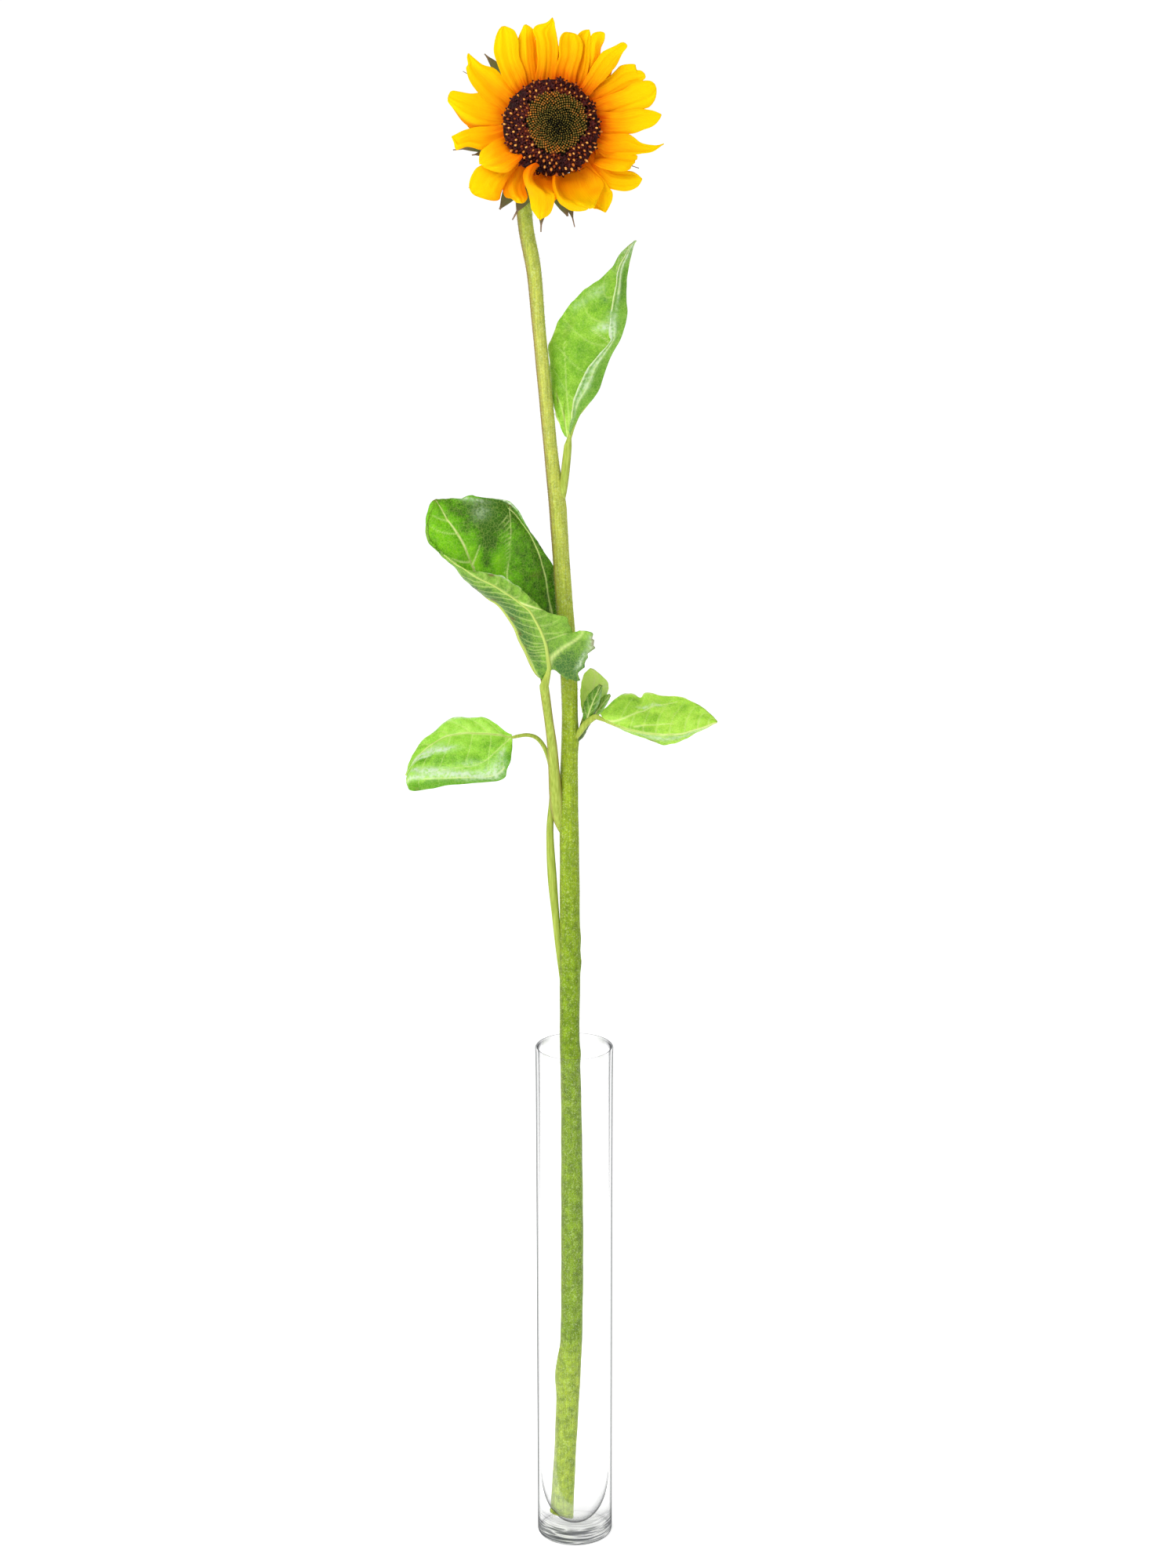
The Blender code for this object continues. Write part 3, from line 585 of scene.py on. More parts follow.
# closed florets: tone runs from the black-green eye through olive to orange-brown.  They fill
# a round that lies a little right of and above the middle, so the open ring is wider below left.
SHUT_AT, SHUT_RADIUS = (2.2, 2.6), 16.2
SPIRAL_AT = (1.2, 1.4)
EYE_AT = (1.8, 1.2)
points, faces, tones = [], [], []
for n in range(int((22.0 / SHUT_SPACING) ** 2)):
    radius, angle = SHUT_SPACING * math.sqrt(n + 0.5), n * GOLDEN
    radius += disc_random.uniform(-0.2, 0.2)
    x, y = SPIRAL_AT[0] + radius * math.cos(angle), SPIRAL_AT[1] + radius * math.sin(angle)
    inside = ring_inside(x, y)
    if inside < 0:
        continue
    frame_here = floret_frame(math.hypot(x, y), math.atan2(y, x))
    away = math.hypot(x - EYE_AT[0], y - EYE_AT[1])
    tone = 0.02 + 0.40 * min(1.0, away / 12.0) + 0.06 * max(0.0, (away - 9.5) / 5.0)
    tone += disc_random.uniform(-0.18, 0.24) - 0.05 * min(1.0, max(0.0, x / 10))
    if inside < 4.0 and disc_random.random() < (0.5 if x < 4 else 0.12) * (1.25 - inside / 4):
        tone = disc_random.uniform(0.5, 1.0)
    size = 0.42 + 0.16 * min(1.0, away / 12.0)
    tall = disc_random.uniform(0.8, 1.45) * (1.1 + 0.7 * min(1.0, away / 14.0))
    bud(frame_here, [(size, -1.2, 0, 0), (size * 1.1, 0.1 * tall, 0, 0),
                     (size * 0.9, 0.75 * tall, 0.06, -0.1), (size * 0.3, 1.12 * tall, 0.2, -0.25)],
        7, points, faces, tones, (tone * 0.7, tone + 0.16), 5)
SHUT_FLORETS = disc_material(
    "closed_floret_olive",
    [(0.0, "12120E"), (0.16, "282612"), (0.34, "4A461A"), (0.52, "7A6A28"), (0.72, "96602A"),
     (0.92, "D47E26")], 0.6, 0.5, 0.08)
place_mesh("closed_florets", points, faces, [SHUT_FLORETS], "floret_brown",
           attributes={"tone": tones})

# open florets: a tube that flares into five pointed lobes, and the pale stigma standing in it
points, faces, tones = [], [], []
tips, tip_faces, tip_tones = [], [], []
first_open = int((OPEN_FROM / OPEN_SPACING) ** 2)
last_open = int((OPEN_TO / OPEN_SPACING) ** 2)
for n in range(first_open, last_open):
    radius, angle = OPEN_SPACING * math.sqrt(n), n * GOLDEN
    radius += disc_random.uniform(-0.3, 0.3)
    angle += disc_random.uniform(-0.5, 0.5) / radius
    x, y = radius * math.cos(angle), radius * math.sin(angle)
    inside = ring_inside(x, y)
    if inside > -0.5:
        continue
    frame_here = floret_frame(radius, angle)
    lean = disc_random.uniform(-0.2, 0.5)
    share = min(1.0, -inside / 9.0)
    tall = disc_random.uniform(0.6, 1.3) + 0.5 * share
    dark = disc_random.uniform(0.0, 0.35) + 0.35 * (1 - share) ** 2
    bud(frame_here, [(0.75, -2.0, 0, 0), (0.85, 0.1 * tall, 0.05, 0),
                     (1.45, 0.75 * tall, 0.34, 0.1),
                     (1.75, 1.0 * tall, 0.5, 0.2), (0.8, 0.62 * tall, 0.2, 0.1), (0.3, 0.3, 0, 0)],
        20, points, faces, tones, (dark, dark * 0.4), 5)
    if disc_random.random() < 0.14:
        continue
    # the ones below the middle are the ripest: longer, and more orange
    ripe = float(np.clip(-y / 22, 0, 1))
    size = disc_random.uniform(0.44, 0.66) * (0.9 + 0.35 * ripe)
    high = tall + disc_random.uniform(0.3, 1.1)
    bright = disc_random.uniform(0.1, 0.95)
    bud(frame_here, [(0.34, -0.4, 0, 0), (0.4, high * 0.7, 0, lean * 0.6),
                     (size, high, 0.1, lean), (size * 1.1, high + 0.35, 0.16, lean),
                     (size * 0.75, high + 0.7 + 0.6 * ripe, 0.1, lean),
                     (size * 0.2, high + 0.9 + 0.7 * ripe, 0, lean)],
        12, tips, tip_faces, tip_tones, (bright, bright), 2)
OPEN_FLORETS = disc_material(
    "open_floret_maroon",
    [(0.0, "1E0709"), (0.3, "3E1012"), (0.6, "621C12"), (1.0, "9A3E10")], 0.5, 0.7, 0.1)
STIGMA = disc_material(
    "stigma_pale_orange",
    [(0.0, "6A2410"), (0.35, "A8521C"), (0.7, "D28232"), (1.0, "F2AE58")], 0.55, 0.6, 0.06)
place_mesh("open_florets", points, faces, [OPEN_FLORETS], "floret_brown",
           attributes={"tone": tones})
place_mesh("floret_stigmas", tips, tip_faces, [STIGMA], "floret_brown",
           attributes={"tone": tip_tones})

# ----------------------------------------------------------
# Ray petals: soft yellow ribbons in three crowded rounds, orange where they leave the head.
# Each grows from the head's rim, is ribbed along its length, and has its own outline and curl.
PETAL_THICK = 0.34
PETAL_ROWS, PETAL_COLUMNS = 46, 25
PETAL_FOOT = 21.5                 # petals are fixed this far out, in under the disc's rim
# Flat petals, by number, in mm from the middle of the disc (right, up): the clockwise edge from
# foot to tip, and the other edge, which ends in the same tip; then how deep it sits below the
# disc's rim, how far its tip rises, how much it is cupped, its folds (place across from -1 to 1,
# height, reach) and its painted shade, deep orange for shadow, at places across.
FLAT_PETALS = {
    1: ([(24.5, -4), (31, -4.5), (37, -4.5), (42, -4), (47, -2.5), (51, -1), (54.5, 1.5), (56.5, 4),
         (57, 5.5)],
        [(23, 7.5), (30, 7), (35, 7), (40, 8), (45, 9), (50, 8), (54, 7)],
        -5.2, 0.5, 0.14, ((0.5, 0.6, 0.6), (-0.45, 0.7, 0.4)), ((-1, 0), (0.6, 0), (1, 0.2))),
    3: ([(24, 2), (30, 4), (36, 6), (42, 7.5), (48, 9), (51, 10), (53.5, 13), (54.5, 17), (54.5, 20)],
        [(20.5, 13), (26, 15), (31, 16.5), (37, 19), (42, 22), (47, 23.5), (51, 23.5), (53.5, 22)],
        -6.2, 1, 0.12, ((0.1, 0.9, 0.5),), ((-1, 0.35), (-0.6, 0), (0.8, 0), (1, 0.3))),
    4: ([(22, 11), (28, 14.5), (34, 17.5), (40, 20), (45, 22), (47.5, 24), (49, 25.5), (48.5, 27.5)],
        [(17.5, 18), (22, 21.5), (26.5, 24), (30.5, 26.5), (33.5, 29), (36, 31.5), (40, 32.5), (44, 32),
         (43.5, 29.5), (46.5, 29)],
        -7.4, 0.5, 0.1, ((0.3, 0.8, 0.4), (-0.4, 0.6, 0.3)), ((-1, 0.45), (-0.3, 0.1), (1, 0))),
    5: ([(19, 16), (22.5, 20), (26, 23.5), (29.5, 27), (32.5, 30.5), (35, 35), (37, 38.5), (39, 41.5),
         (38.5, 43)],
        [(14, 20), (16.5, 24), (19.5, 29), (22.5, 34), (25.5, 38), (29, 40), (33, 42), (36.5, 43.5)],
        -5, 1.5, 0.2, ((0.5, 0.6, 0.4), (-0.1, 0.5, 0.4)), ((-1, 0.3), (-0.5, 0.15), (0.2, 0), (1, 0))),
    7: ([(18, 18), (21, 25), (23.5, 31), (25, 37), (25.5, 41), (27, 45), (27.5, 48.5), (26, 49.5)],
        [(11, 23.5), (14, 28), (17, 33), (19, 38), (19.5, 43), (20.5, 47), (22.5, 49)],
        -6.8, 0.5, 0.3, ((0.1, 0.9, 0.5),), ((-1, 0.8), (-0.2, 0.5), (0.2, 0), (1, 0))),
    8: ([(15.5, 20.5), (17.5, 26), (19, 32), (19.5, 38), (20, 44), (20, 48), (19.5, 50.5)],
        [(8, 25), (10, 30), (12, 36), (13, 42), (13, 47), (15.5, 49.5), (18, 50.5)],
        -6.2, 0.5, 0.3, ((-0.4, 0.9, 0.4),), ((-1, 0.35), (-0.6, 0.1), (0.2, 0.35), (1, 0.3))),
    9: ([(11.5, 22.5), (12, 27), (13.5, 32), (15, 37), (16, 42), (14.5, 46), (12.5, 48), (9, 49)],
        [(0.5, 25.5), (1, 29), (2, 33), (3.5, 37), (3, 42), (4, 46.5), (6, 49)],
        -4.6, 1, 0.15, ((-0.5, 1, 0.35), (0.9, 0.7, 0.3)),
        ((-1, 0.3), (-0.5, 0), (0.25, 0.3), (0.7, 0.1), (1, 0))),
    10: ([(1.5, 24.5), (2, 30), (2.5, 36), (3, 42), (2, 47), (1.5, 51), (1, 54.5), (0, 57)],
         [(-9.5, 24.5), (-8.5, 30), (-8, 36), (-8.5, 42), (-9, 46.5), (-10, 50.5), (-8, 53), (-4, 54),
          (-2, 55)],
         -5.4, 1, 0.12, ((-0.42, -0.8, 0.3), (0.4, 0.4, 0.4)), ((-1, 0), (-0.4, 0.35), (0, 0), (1, 0))),
    12: ([(-7, 25), (-7.5, 30), (-8, 36), (-8, 42), (-9, 47), (-10, 50.5), (-12, 52.5), (-14, 53.5)],
         [(-15.5, 21), (-16.5, 27), (-18, 33), (-18.5, 38), (-18.5, 43), (-17.5, 47), (-16, 50.5),
          (-15, 53)],
         -6.8, 0.5, 0, ((0.1, 1.6, 0.9),), ((-1, 0.65), (0.02, 0.6), (0.14, 0), (0.7, 0.1), (1, 0.35))),
    13: ([(-13.5, 21), (-14.5, 27), (-16.5, 33), (-18, 38), (-18, 43), (-18, 45.5), (-19.5, 49),
          (-21.5, 51), (-25.5, 52.5)],
         [(-19.5, 17), (-23, 20.5), (-26.5, 26), (-28.5, 30.5), (-29.5, 34), (-31, 40), (-30.5, 45),
          (-28.5, 50), (-27, 52)],
         -4.6, 1, 0.12, ((-0.5, 0.6, 0.3), (0.3, 0.5, 0.3)), ((-1, 0.1), (-0.5, 0), (1, 0))),
    14: ([(-19, 16.5), (-23, 21.5), (-27, 27), (-31, 30.5), (-36.5, 32.5), (-40.5, 35), (-44.5, 38.5)],
         [(-25, 7), (-29.5, 10.5), (-34, 13), (-38, 16), (-41, 20), (-44.5, 25.5), (-45.5, 29.5),
          (-45.5, 31.5), (-44.5, 33), (-45, 36.5)],
         -5.6, 0.5, 0.1, ((-0.55, 0.8, 0.35), (0.05, -0.7, 0.3)),
         ((-1, 0), (-0.4, 0), (0.05, 0.4), (0.4, 0.1), (1, 0.2))),
    18: ([(-25.5, 2), (-31, 1), (-37, 0), (-43, -0.5), (-47.5, -2), (-51, -3.5), (-54, -5)],
         [(-23, -8), (-28, -10), (-33, -11.5), (-38.5, -12), (-42, -11), (-46, -10.5), (-50, -11.5),
          (-51.5, -12), (-52.5, -10.5), (-53, -8)],
         -5, 0.5, 0.1, ((0.6, 0.8, 0.3), (-0.3, 0.4, 0.3)),
         ((-1, 0.1), (0.1, 0.1), (0.4, 0.4), (0.65, 0), (1, 0.4))),
    20: ([(-22, -10), (-28, -15), (-35, -19), (-41, -21.5), (-43.5, -25), (-45, -29), (-45.5, -32),
          (-44.5, -34.5), (-43, -36)],
         [(-16.5, -17.5), (-20.5, -22), (-24, -26.5), (-27, -31), (-28.5, -35), (-29.5, -38.5),
          (-33, -39), (-38, -38)],
         -5.2, 3, -0.08, ((0.2, 0.8, 0.7),), ((-1, 0), (0.3, 0), (0.7, 0.3), (1, 0.8))),
    21: ([(-21, -15), (-23, -21), (-25.5, -27), (-27.5, -32), (-26, -37), (-23, -38), (-20.5, -40),
          (-17.5, -40.5)],
         [(-10.5, -21.5), (-14, -26), (-15.5, -31), (-15, -35), (-14.5, -37.5), (-15.5, -39.5)],
         -7.4, 2, -0.1, ((-0.1, 1.2, 0.5),), ((-1, 1), (-0.5, 0.7), (0, 0.25), (0.4, 0.7), (1, 1))),
    25: ([(8, -24), (11, -30), (14.5, -35.5), (17.5, -40), (20, -43.5), (22, -44), (24.5, -45),
          (26.5, -46)],
         [(17, -17.5), (22, -24), (26, -29), (29, -33), (30.5, -35.5), (30, -39.5), (28.5, -43)],
         -6.2, 2.5, 0.1, ((0.2, 0.6, 0.5),), ((-1, 0.3), (0.1, 0.25), (0.5, 0), (1, 0))),
    27: ([(17, -18), (21, -24), (25, -29.5), (29, -33), (32, -34), (37, -34.5), (41, -34), (44, -32.5),
          (45.5, -30.5), (46.5, -28.5)],
         [(21.5, -12), (26, -19), (31, -23), (37, -24), (41.5, -24.5), (44, -26)],
         -7, 1, 0.05, ((0.1, 0.8, 0.5),), ((-1, 0.2), (0, 0), (0.8, 0), (1, 0.3))),
    29: ([(21, -12), (24, -14.5), (27, -17), (31, -17), (36, -16), (42, -15.5), (46, -15), (50, -14.5),
          (53.5, -13), (58, -10)],
         [(24, -4), (29, -4.5), (34, -4.5), (39, -4.5), (42, -6.5), (44.5, -8.5), (46.5, -9.5),
          (50.5, -10.5), (54, -11)],
         -4.4, 1, 0.2, ((0.1, 0.9, 0.6), (-0.5, 0.3, 0.2)),
         ((-1, 0), (-0.85, 0), (-0.5, 0.45), (0, 0.15), (1, 0))),
}
# Back petals, by number: angle, length and width; they close the gaps behind the others.
BACK_PETALS = {2: (10, 25, 14), 6: (50, 24, 15), 11: (94, 25, 16), 15: (150, 21, 16), 17: (175, 24, 15),
               23: (262, 19, 17), 26: (318, 20, 16)}
# Curled petals, by number: cages of rows from the foot to the tip, in mm (right, up, out of the
# disc's rim).
CURLED_PETALS = {
    16: [[(-22.5, 13, -6.5), (-23.5, 9, -6), (-24.5, 5, -5.5), (-25.5, 1.5, -5), (-25.5, 0, -6), (-25, -1, -8)],
         [(-30, 16.5, -6.5), (-31.5, 11, -5.5), (-32, 6, -5), (-32.5, 2, -4), (-33, 1, -5), (-33, -1, -7.5)],
         [(-37, 18, -6), (-38.5, 13, -5), (-39.5, 8, -4.5), (-40.5, 4, -3), (-41.5, 1.5, -5),
          (-42.5, -0.5, -7.5)],
         [(-43.5, 17.5, -5), (-45, 14, -4), (-46, 10.5, -3.5), (-46.5, 7, -2.5), (-47.5, 4.5, -4.5),
          (-48, 3, -6.5)],
         [(-49.5, 18.5, -4), (-51, 15.5, -3.5), (-51.5, 13, -3), (-52, 11, -2.5), (-52, 9, -4),
          (-52, 8.5, -5.5)],
         [(-53, 19, -3.5), (-54.5, 17, -3.5), (-55, 15, -3.5), (-55, 13.5, -3.5), (-55, 12.5, -4),
          (-54.5, 12, -4.5)],
         [(-54.5, 18, -3.5), (-55, 17.5, -3.5), (-55.5, 16, -3.5), (-55.5, 15, -3.5), (-55.5, 14, -4),
          (-55, 13, -4.5)]],
    19: [[(-23.5, -5.5, -4.5), (-22.5, -8.5, -4), (-21.5, -11, -3), (-18.5, -14.5, 2), (-18, -15.5, 5),
          (-17.5, -16.5, 4)],
         [(-28, -6.5, -2), (-27.5, -9.5, 0), (-26, -12.5, 1.5), (-22.5, -16, 3), (-21.5, -18, 6),
          (-20.5, -20, 4)],
         [(-32.5, -8, -0.5), (-32, -11, 2), (-30.5, -14.5, 3), (-27, -18.5, 3.5), (-26, -21, 6.5),
          (-25, -24, 4)],
         [(-36, -10.5, -0.5), (-35, -13.5, 2.5), (-33.5, -16.5, 3.5), (-31, -20, 3.5), (-30.5, -22, 5.5),
          (-29.5, -24.5, 3)],
         [(-39, -13, -1), (-37.5, -16, 2), (-36, -18, 3), (-34.5, -21, 3), (-34, -22, 4), (-33.5, -23.5, 2)],
         [(-40, -16.5, -1), (-39.5, -18, 1), (-38.5, -19, 2), (-37, -21, 2), (-37, -21.5, 2), (-36.5, -22, 1)],
         [(-40, -19, -1.5), (-40, -19.5, -0.5), (-39.5, -20, 0), (-38.5, -20.5, 0), (-38.5, -21, 0),
          (-38, -21, -0.5)]],
    22: [[(-12.5, -20.5, 5), (-11, -20, 7.5), (-9.5, -20.5, 6), (-8, -22, 0), (-5, -23.5, -4), (-1.5, -25, -5)],
         [(-15.5, -22, 5), (-14, -21.5, 8.5), (-12, -22, 8), (-10.5, -23.5, 1.5), (-6, -25.5, -3.5),
          (-1.5, -27, -4)],
         [(-17.5, -25.5, 5), (-16, -25.5, 9), (-13.5, -26, 8.5), (-12, -27, 2), (-6.5, -28, -2),
          (-1, -29.5, -2.5)],
         [(-17, -30, 5), (-16, -30, 9.5), (-13.5, -29.5, 9.5), (-11.5, -29.5, 4), (-6.5, -31, 0),
          (-1, -32, -0.5)],
         [(-15.5, -34, 5.5), (-14, -33.5, 9), (-11.5, -32.5, 10.5), (-9.5, -32.5, 6), (-5.5, -33.5, 3),
          (-1, -34.5, 3)],
         [(-14.5, -38, 5.5), (-12, -37, 8.5), (-8.5, -35.5, 11), (-6.5, -35.5, 9), (-4, -35.5, 7),
          (-0.5, -36, 6.5)],
         [(-14, -41, 5.5), (-11.5, -40, 7.5), (-8, -39, 9.5), (-5, -38, 10.5), (-2.5, -37.5, 10),
          (-1, -37.5, 8)],
         [(-13.5, -44, 5), (-11, -44, 6.5), (-8, -44, 7.5), (-5, -43.5, 7.5), (-3, -43, 7), (-2, -42, 6)],
         [(-11.5, -47, 4), (-10, -47.5, 4.5), (-8.5, -47.5, 5), (-6.5, -47.5, 4.5), (-4.5, -47, 4),
          (-4, -46, 3.5)],
         [(-10, -49, 3), (-9.5, -49, 3), (-9, -49.5, 3), (-8.5, -49.5, 3), (-8, -49, 3), (-7.5, -49, 3)]],
    24: [[(-1, -25, 0), (0, -25.5, 1.5), (2, -25.5, -4), (7, -25, -5.5), (12, -24, -5.5), (17, -21.5, -5.5)],
         [(-2, -29, 3.5), (-1, -29.5, 5.5), (1.5, -29.5, -1.5), (8, -29, -4), (15.5, -27.5, -5),
          (22, -25.5, -5)],
         [(-2, -33, 6), (-0.5, -33.5, 8), (2, -33, 1.5), (9.5, -32.5, -2), (17.5, -30.5, -3.5),
          (25, -28.5, -4)],
         [(-1, -37, 8), (0.5, -37, 10), (3.5, -36, 4.5), (10.5, -35.5, 0.5), (18.5, -33.5, -1.5),
          (26, -31.5, -2.5)],
         [(1, -41, 8.5), (2.5, -39.5, 11), (5, -38.5, 7), (11.5, -38, 3.5), (18.5, -36.5, 1), (24.5, -35, -1)],
         [(3.5, -43, 8), (5, -41.5, 11), (7.5, -40, 9), (12.5, -40, 6.5), (18.5, -39, 3.5), (22.5, -38.5, 1.5)],
         [(7, -45, 6.5), (8, -43, 9.5), (10, -42, 9.5), (13.5, -41.5, 8.5), (18, -41, 6), (21, -41, 3.5)],
         [(11.5, -45.5, 5), (12, -44, 7.5), (13, -43, 8.5), (15, -43, 8), (18, -42.5, 6.5), (20, -43, 4.5)],
         [(15.5, -45, 3.5), (16, -44.5, 4.5), (16.5, -44, 5), (17.5, -44, 5), (19, -44, 4.5), (19.5, -44, 4)]],
    28: [[(21.5, -12, -4), (22, -14.5, -6), (21.5, -17, -6), (20.5, -19.5, -2), (20.5, -20.5, 1.5)],
         [(27, -13.5, -4), (27, -15.5, -5), (26.5, -17, -4), (25, -20, 1), (24.5, -23, 3)],
         [(33, -14, -4), (33, -16, -3.5), (32.5, -18, -1.5), (31.5, -21, 2), (31, -24.5, 2.5)],
         [(39.5, -14.5, -4), (39.5, -16.5, -2.5), (38.5, -19, -0.5), (37, -21.5, 2), (36, -24.5, 2)],
         [(43, -15.5, -3), (43, -17, -2), (42, -19, -1), (40, -21.5, 0.5), (39, -23.5, 1)],
         [(43.5, -16.5, -2), (43.5, -17.5, -2), (42.5, -19, -1.5), (41, -21, -0.5), (39.5, -22.5, 0.5)]],
}
# painted shade on the curled petals, in deep orange: place along, place across, reach along and across, depth
CURLED_SHADES = {
    16: [(0.5, 0.85, 0.35, 0.25, 0.9), (0.1, 0.2, 0.2, 0.5, 0.3)],
    19: [(0.3, 0.18, 0.5, 0.14, 0.6), (0, -0.3, 0.12, 0.6, 0.5)],
    22: [(0.12, 0.5, 0.26, 0.55, 1.3), (0.35, 0.35, 0.12, 0.4, 0.5), (0.7, -0.1, 0.14, 0.5, 0.35)],
    24: [(0, 0.2, 0.16, 0.8, 1.2), (0.3, -0.2, 0.3, 0.35, 0.55), (0.45, 0.75, 0.12, 0.25, 0.5)],
    28: [(0, -0.4, 0.22, 0.55, 1.3), (0.5, -0.1, 0.4, 0.15, 0.35)],
}


def smooth_step(low, high, value):
    t = np.clip((np.asarray(value, float) - low) / (high - low), 0.0, 1.0)
    return t * t * (3 - 2 * t)


def run_along(line):
    """How far each point of a line lies along it, in mm."""
    return np.concatenate([[0.0], np.cumsum(np.linalg.norm(np.diff(line, axis=0), axis=1))])


def edge_line(points, places):
    """A smooth line from a petal's foot through its edge's points, read at shares of its run."""
    points = np.array(points, float)
    line = spline(np.vstack([PETAL_FOOT * unit(points[0]), points]), 8)
    run = run_along(line)
    return np.column_stack([np.interp(places * run[-1], run, line[:, k]) for k in (0, 1)])


def from_head(grid):
    """Points given right, up and out from the middle of the disc, in the model's own frame."""
    right, up, out = np.split(grid, 3, axis=2)
    return HEAD_AT + (0.991 * right + 0.9) * RIGHT + (0.972 * up + 0.9) * UP + out * OUT


def reach_of(flat):
    """How far out a point of a petal lies: 0 at the disc's rim, 1 at the longest tips."""
    return np.clip((np.linalg.norm(flat, axis=2) - 24.0) / 33.0, 0.0, 1.0)


def flat_petal(spec, seed):
    """Middle surface of a flat petal between its two edges, how far out it lies and its painted shade."""
    edge_a, edge_b, depth, rise, cup, folds, shades = spec
    own = random.Random(seed)
    turn = [own.uniform(0, 2 * math.pi) for _ in range(7)]
    places = 1 - (1 - np.linspace(0, 1, PETAL_ROWS)) ** 1.5
    right, left = edge_line(edge_a, places), edge_line([*edge_b, edge_a[-1]], places)
    half = (left - right) / 2
    half += 0.15 * unit(half[PETAL_ROWS // 2])
    wide = np.linalg.norm(half, axis=1)[:, None]
    s, across = places[:, None], np.linspace(-1, 1, PETAL_COLUMNS)[None, :]
    flat = ((right + left) / 2)[:, None, :] + across[:, :, None] * half[:, None, :]
    inner = 1 - across ** 6
    # lengthwise ribs about 2.5 mm apart, finer ones between them, then cup, folds and waves
    ribs = 0.26 * np.cos(across * math.pi * max(2, round(wide.max() / 2.4)) + turn[0]) \
        + 0.10 * np.cos(across * 17 + turn[1])
    height = ribs * inner * np.minimum(1.0, wide / 4) * (1 - 0.4 * s)
    height = height + cup * wide * across ** 2 * (0.3 + 0.7 * s)
    for place, tall, reach in folds:
        height = height + tall * np.maximum(0.0, 1 - np.abs(across - place) / reach) \
            * smooth_step(0.0, 0.15, s) * (1 - 0.6 * smooth_step(0.7, 1.0, s))
    edge = np.abs(across) ** 3 * smooth_step(0.1, 0.5, s) * 0.45
    height = height + edge * np.where(across > 0, np.sin(9 * s + turn[2]), np.sin(8 * s + turn[3]))
    height = height + 0.35 * np.sin(6.5 * s + turn[4]) * smooth_step(0.1, 0.4, s)
    frill = edge * 0.35 * np.sin(21 * s + turn[5]) * (1 - smooth_step(0.85, 1.0, s))
    flat = flat + (np.sign(across) * frill)[:, :, None] * (half / wide)[:, None, :]
    height = height + depth + rise * s ** 1.5
    shade = np.interp(across, *zip(*shades)) * (1 - smooth_step(0.7, 0.95, s))
    return from_head(np.dstack([flat, height])), reach_of(flat), shade


def back_petal(angle, length, wide):
    """The two edges of a plain petal: leaf-shaped, straight out at its angle."""
    a = math.radians(angle)
    out, side = np.array([math.cos(a), math.sin(a)]), np.array([-math.sin(a), math.cos(a)])
    shape = [(0, 0.8), (0.2, 0.9), (0.45, 1.0), (0.7, 0.85), (0.88, 0.5), (1.0, 0.0)]
    edge_a, edge_b = ([out * (23.5 + length * s) + side * k * w * wide / 2 for s, w in shape]
                      for k in (-1, 1))
    return edge_a, edge_b[:-1]


def spline_grid(cage, along_steps, over_steps):
    """A cage smoothed both ways."""
    grid = spline(np.array(cage, float), along_steps)
    return spline(grid.transpose(1, 0, 2), over_steps).transpose(1, 0, 2)


def surface_normal(grid):
    return unit(np.cross(np.gradient(grid, axis=0), np.gradient(grid, axis=1)))


def curled_petal(cage, shades, seed):
    """Middle surface of a curled petal, smoothed from its cage."""
    own = random.Random(seed)
    grid = spline_grid(cage, max(4, 48 // (len(cage) - 1)), 6)
    across = np.linspace(-1, 1, grid.shape[1])
    ribs = 0.24 * np.cos(across * math.pi * 3 + own.uniform(0, 6)) \
        + 0.12 * np.cos(across * 16 + own.uniform(0, 6))
    grid = grid + surface_normal(grid) * (ribs * (1 - across ** 6))[None, :, None]
    s = np.linspace(0, 1, grid.shape[0])[:, None]
    shade = np.zeros(grid.shape[:2])
    for place, side, long, wide, depth in shades:
        shade += depth * np.exp(-((s - place) / long) ** 2 - ((across - side) / wide) ** 2)
    return from_head(grid), np.maximum(reach_of(grid[:, :, :2]), 0.85 * s), np.minimum(shade, 1.0)


def shell(grid, thick):
    """Closes a grid of points into a thin solid; returns points and faces."""
    half = np.broadcast_to(np.asarray(thick, float) / 2, grid.shape[:2])[:, :, None]
    lift = surface_normal(grid) * half
    points = np.concatenate([(grid + lift).reshape(-1, 3), (grid - lift).reshape(-1, 3)])
    top = np.arange(grid.shape[0] * grid.shape[1]).reshape(grid.shape[:2])
    low = top + top.size
    return points, quads(top.T) + quads(low) \
        + quads(np.stack([top[:, 0], low[:, 0]], axis=1)) \
        + quads(np.stack([low[:, -1], top[:, -1]], axis=1)) \
        + quads(np.stack([top[0], low[0]])) + quads(np.stack([low[-1], top[-1]]))


